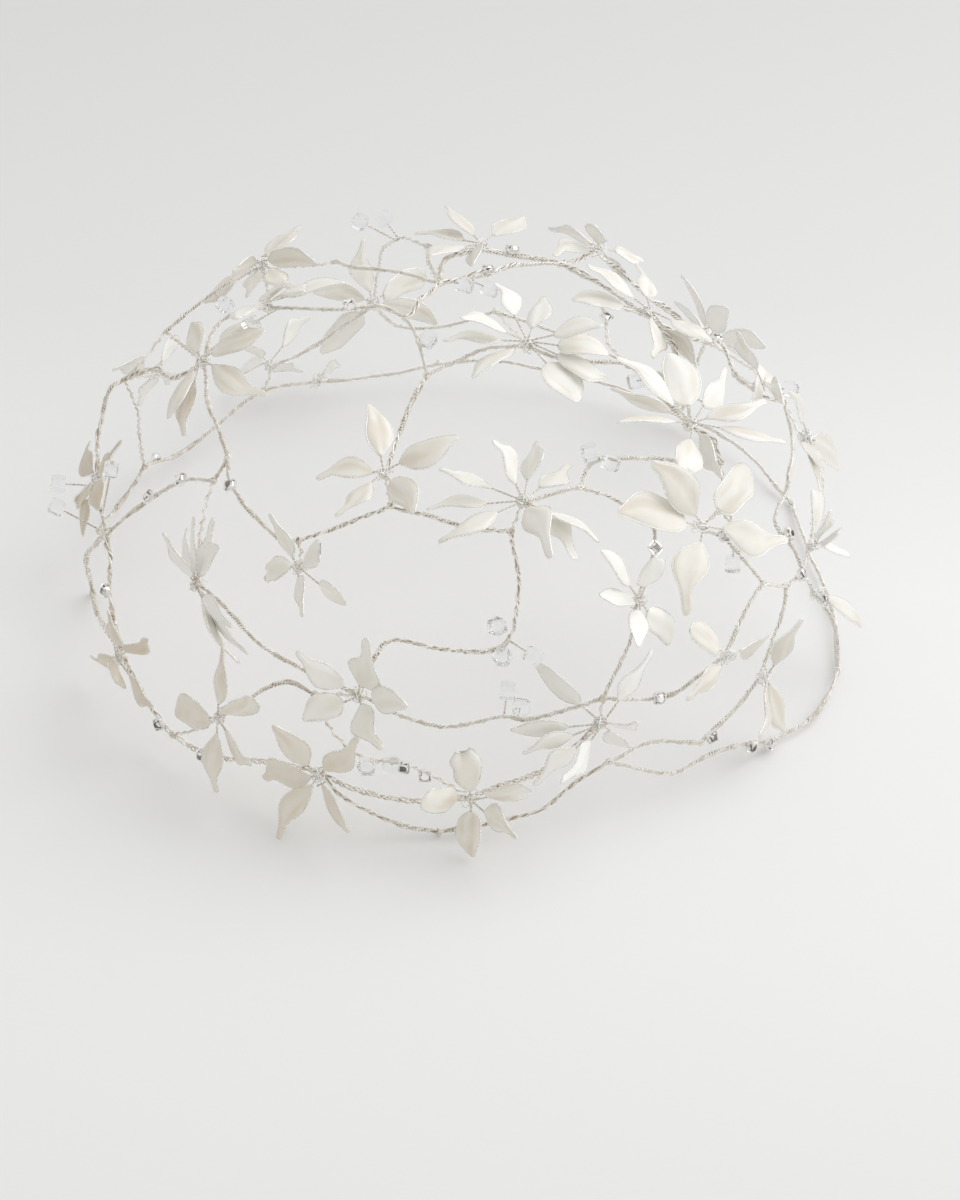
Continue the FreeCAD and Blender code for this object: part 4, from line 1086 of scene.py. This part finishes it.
CROWN_MIDDLE = Vector((0.0, 0.0, 10 * MM))
rng = random.Random(SEED + 5)
stone_places = [cup_place(solid, rng) for solid in node_solids("rhinestone_cups")]
piece_from("rhinestone_settings", [placed_shape("cups", setting_shape(), stone_places, rng)],
           SETTING, ["rhinestone_cups"])
piece_from("cut_rhinestones", [placed_shape("stones", stone_shape(), stone_places, rng)],
           RHINESTONE, ["rhinestones"])
piece_from("cut_crystals", [crystal_shape(node_solids("crystals"), 0.10 * MM)], CRYSTAL,
           ["crystals"])


# ---------------------------------------------------------------- camera, lights, floor

# Metres, degrees and watts.
CAMERA_PLACE = (0.00434, -0.6803, 0.5106)
CAMERA_TILT = 53.0
CAMERA_LENS_MM = 105.8
LAMP_PLACE = Vector((0.78, 0.18, 0.80))
LAMP_AIM = Vector((0, 0, 0.03))
LAMP_SIDE = 1.1
LAMP_POWER = 4.6
FLOOR_SIDE = 6.0
FLOOR_LEVEL = -0.2 * MM

BACKGROUND = (0.76, 0.76, 0.75)
STUDIO = ((0.0, (0.27, 0.245, 0.205)), (0.25, (0.50, 0.48, 0.44)),
          (0.55, (0.70, 0.70, 0.695)), (1.0, (1.0, 1.0, 1.0)))
FLOOR = tuple((place, (grey, grey, grey)) for place, grey in (
    (0.0, 0.83), (0.15, 0.865), (0.4, 0.88), (0.66, 0.78), (1.0, 0.73)))


def make_camera():
    """The viewing camera, in front of the crown and looking down at it."""
    data = bpy.data.cameras.new("camera")
    data.lens = CAMERA_LENS_MM
    data.sensor_width = 36.0
    data.clip_start = 0.05
    data.clip_end = 50.0
    camera = new_object("camera", data)
    camera.location = CAMERA_PLACE
    camera.rotation_euler = (math.radians(CAMERA_TILT), 0.0, 0.0)
    bpy.context.scene.camera = camera


def make_lamp():
    """A large soft square lamp aimed at the crown from the upper right."""
    data = bpy.data.lights.new("key", "AREA")
    data.size = LAMP_SIDE
    data.energy = LAMP_POWER
    lamp = new_object("key", data)
    lamp.location = LAMP_PLACE
    lamp.rotation_euler = (LAMP_AIM - LAMP_PLACE).to_track_quat("-Z", "Y").to_euler()


def make_world():
    """Soft studio light from all round, brighter from the right and behind; a plain backdrop."""
    world = bpy.data.worlds.new("studio")
    bpy.context.scene.world = world
    world.use_nodes = True
    tree = world.node_tree
    light_path = add_node(tree, "ShaderNodeLightPath")
    seen = light_path.outputs["Is Camera Ray"]
    for ray in ("Is Glossy Ray", "Is Transmission Ray"):
        seen = socket_maths(tree, "MAXIMUM", seen, light_path.outputs[ray])
    studio = colour_ramp(tree, gradient(tree, "Generated", (0.78, 0.22, 0.58), -1, 1), STUDIO)
    background = tree.nodes["Background"]
    tree.links.new(mix_colours(tree, seen, studio, BACKGROUND), background.inputs["Color"])
    background.inputs["Strength"].default_value = 1.0


def make_floor():
    """Pale floor, its tone drifting a little from the front to the back: painted lightest around
    the crown and darkest at the back, as painted light and shade.
    """
    half = FLOOR_SIDE / 2
    mesh = bpy.data.meshes.new("floor")
    mesh.from_pydata([(x, y, FLOOR_LEVEL) for x, y in (
        (-half, -half), (half, -half), (half, half), (-half, half))], [], [(0, 1, 2, 3)])
    floor = new_object("floor", mesh)
    material = bpy.data.materials.new("Pale floor")
    material.use_nodes = True
    tree = material.node_tree
    shader = tree.nodes["Principled BSDF"]
    tone = colour_ramp(tree, gradient(tree, "Object", (0.0, 1.0, 0.0), -0.2, 0.3), FLOOR)
    tree.links.new(tone, shader.inputs["Base Color"])
    shader.inputs["Roughness"].default_value = 0.9
    shader.inputs["Specular IOR Level"].default_value = 0.1
    mesh.materials.append(material)


make_camera()
make_world()
make_floor()
make_lamp()
bpy.context.scene.view_settings.view_transform = "Standard"
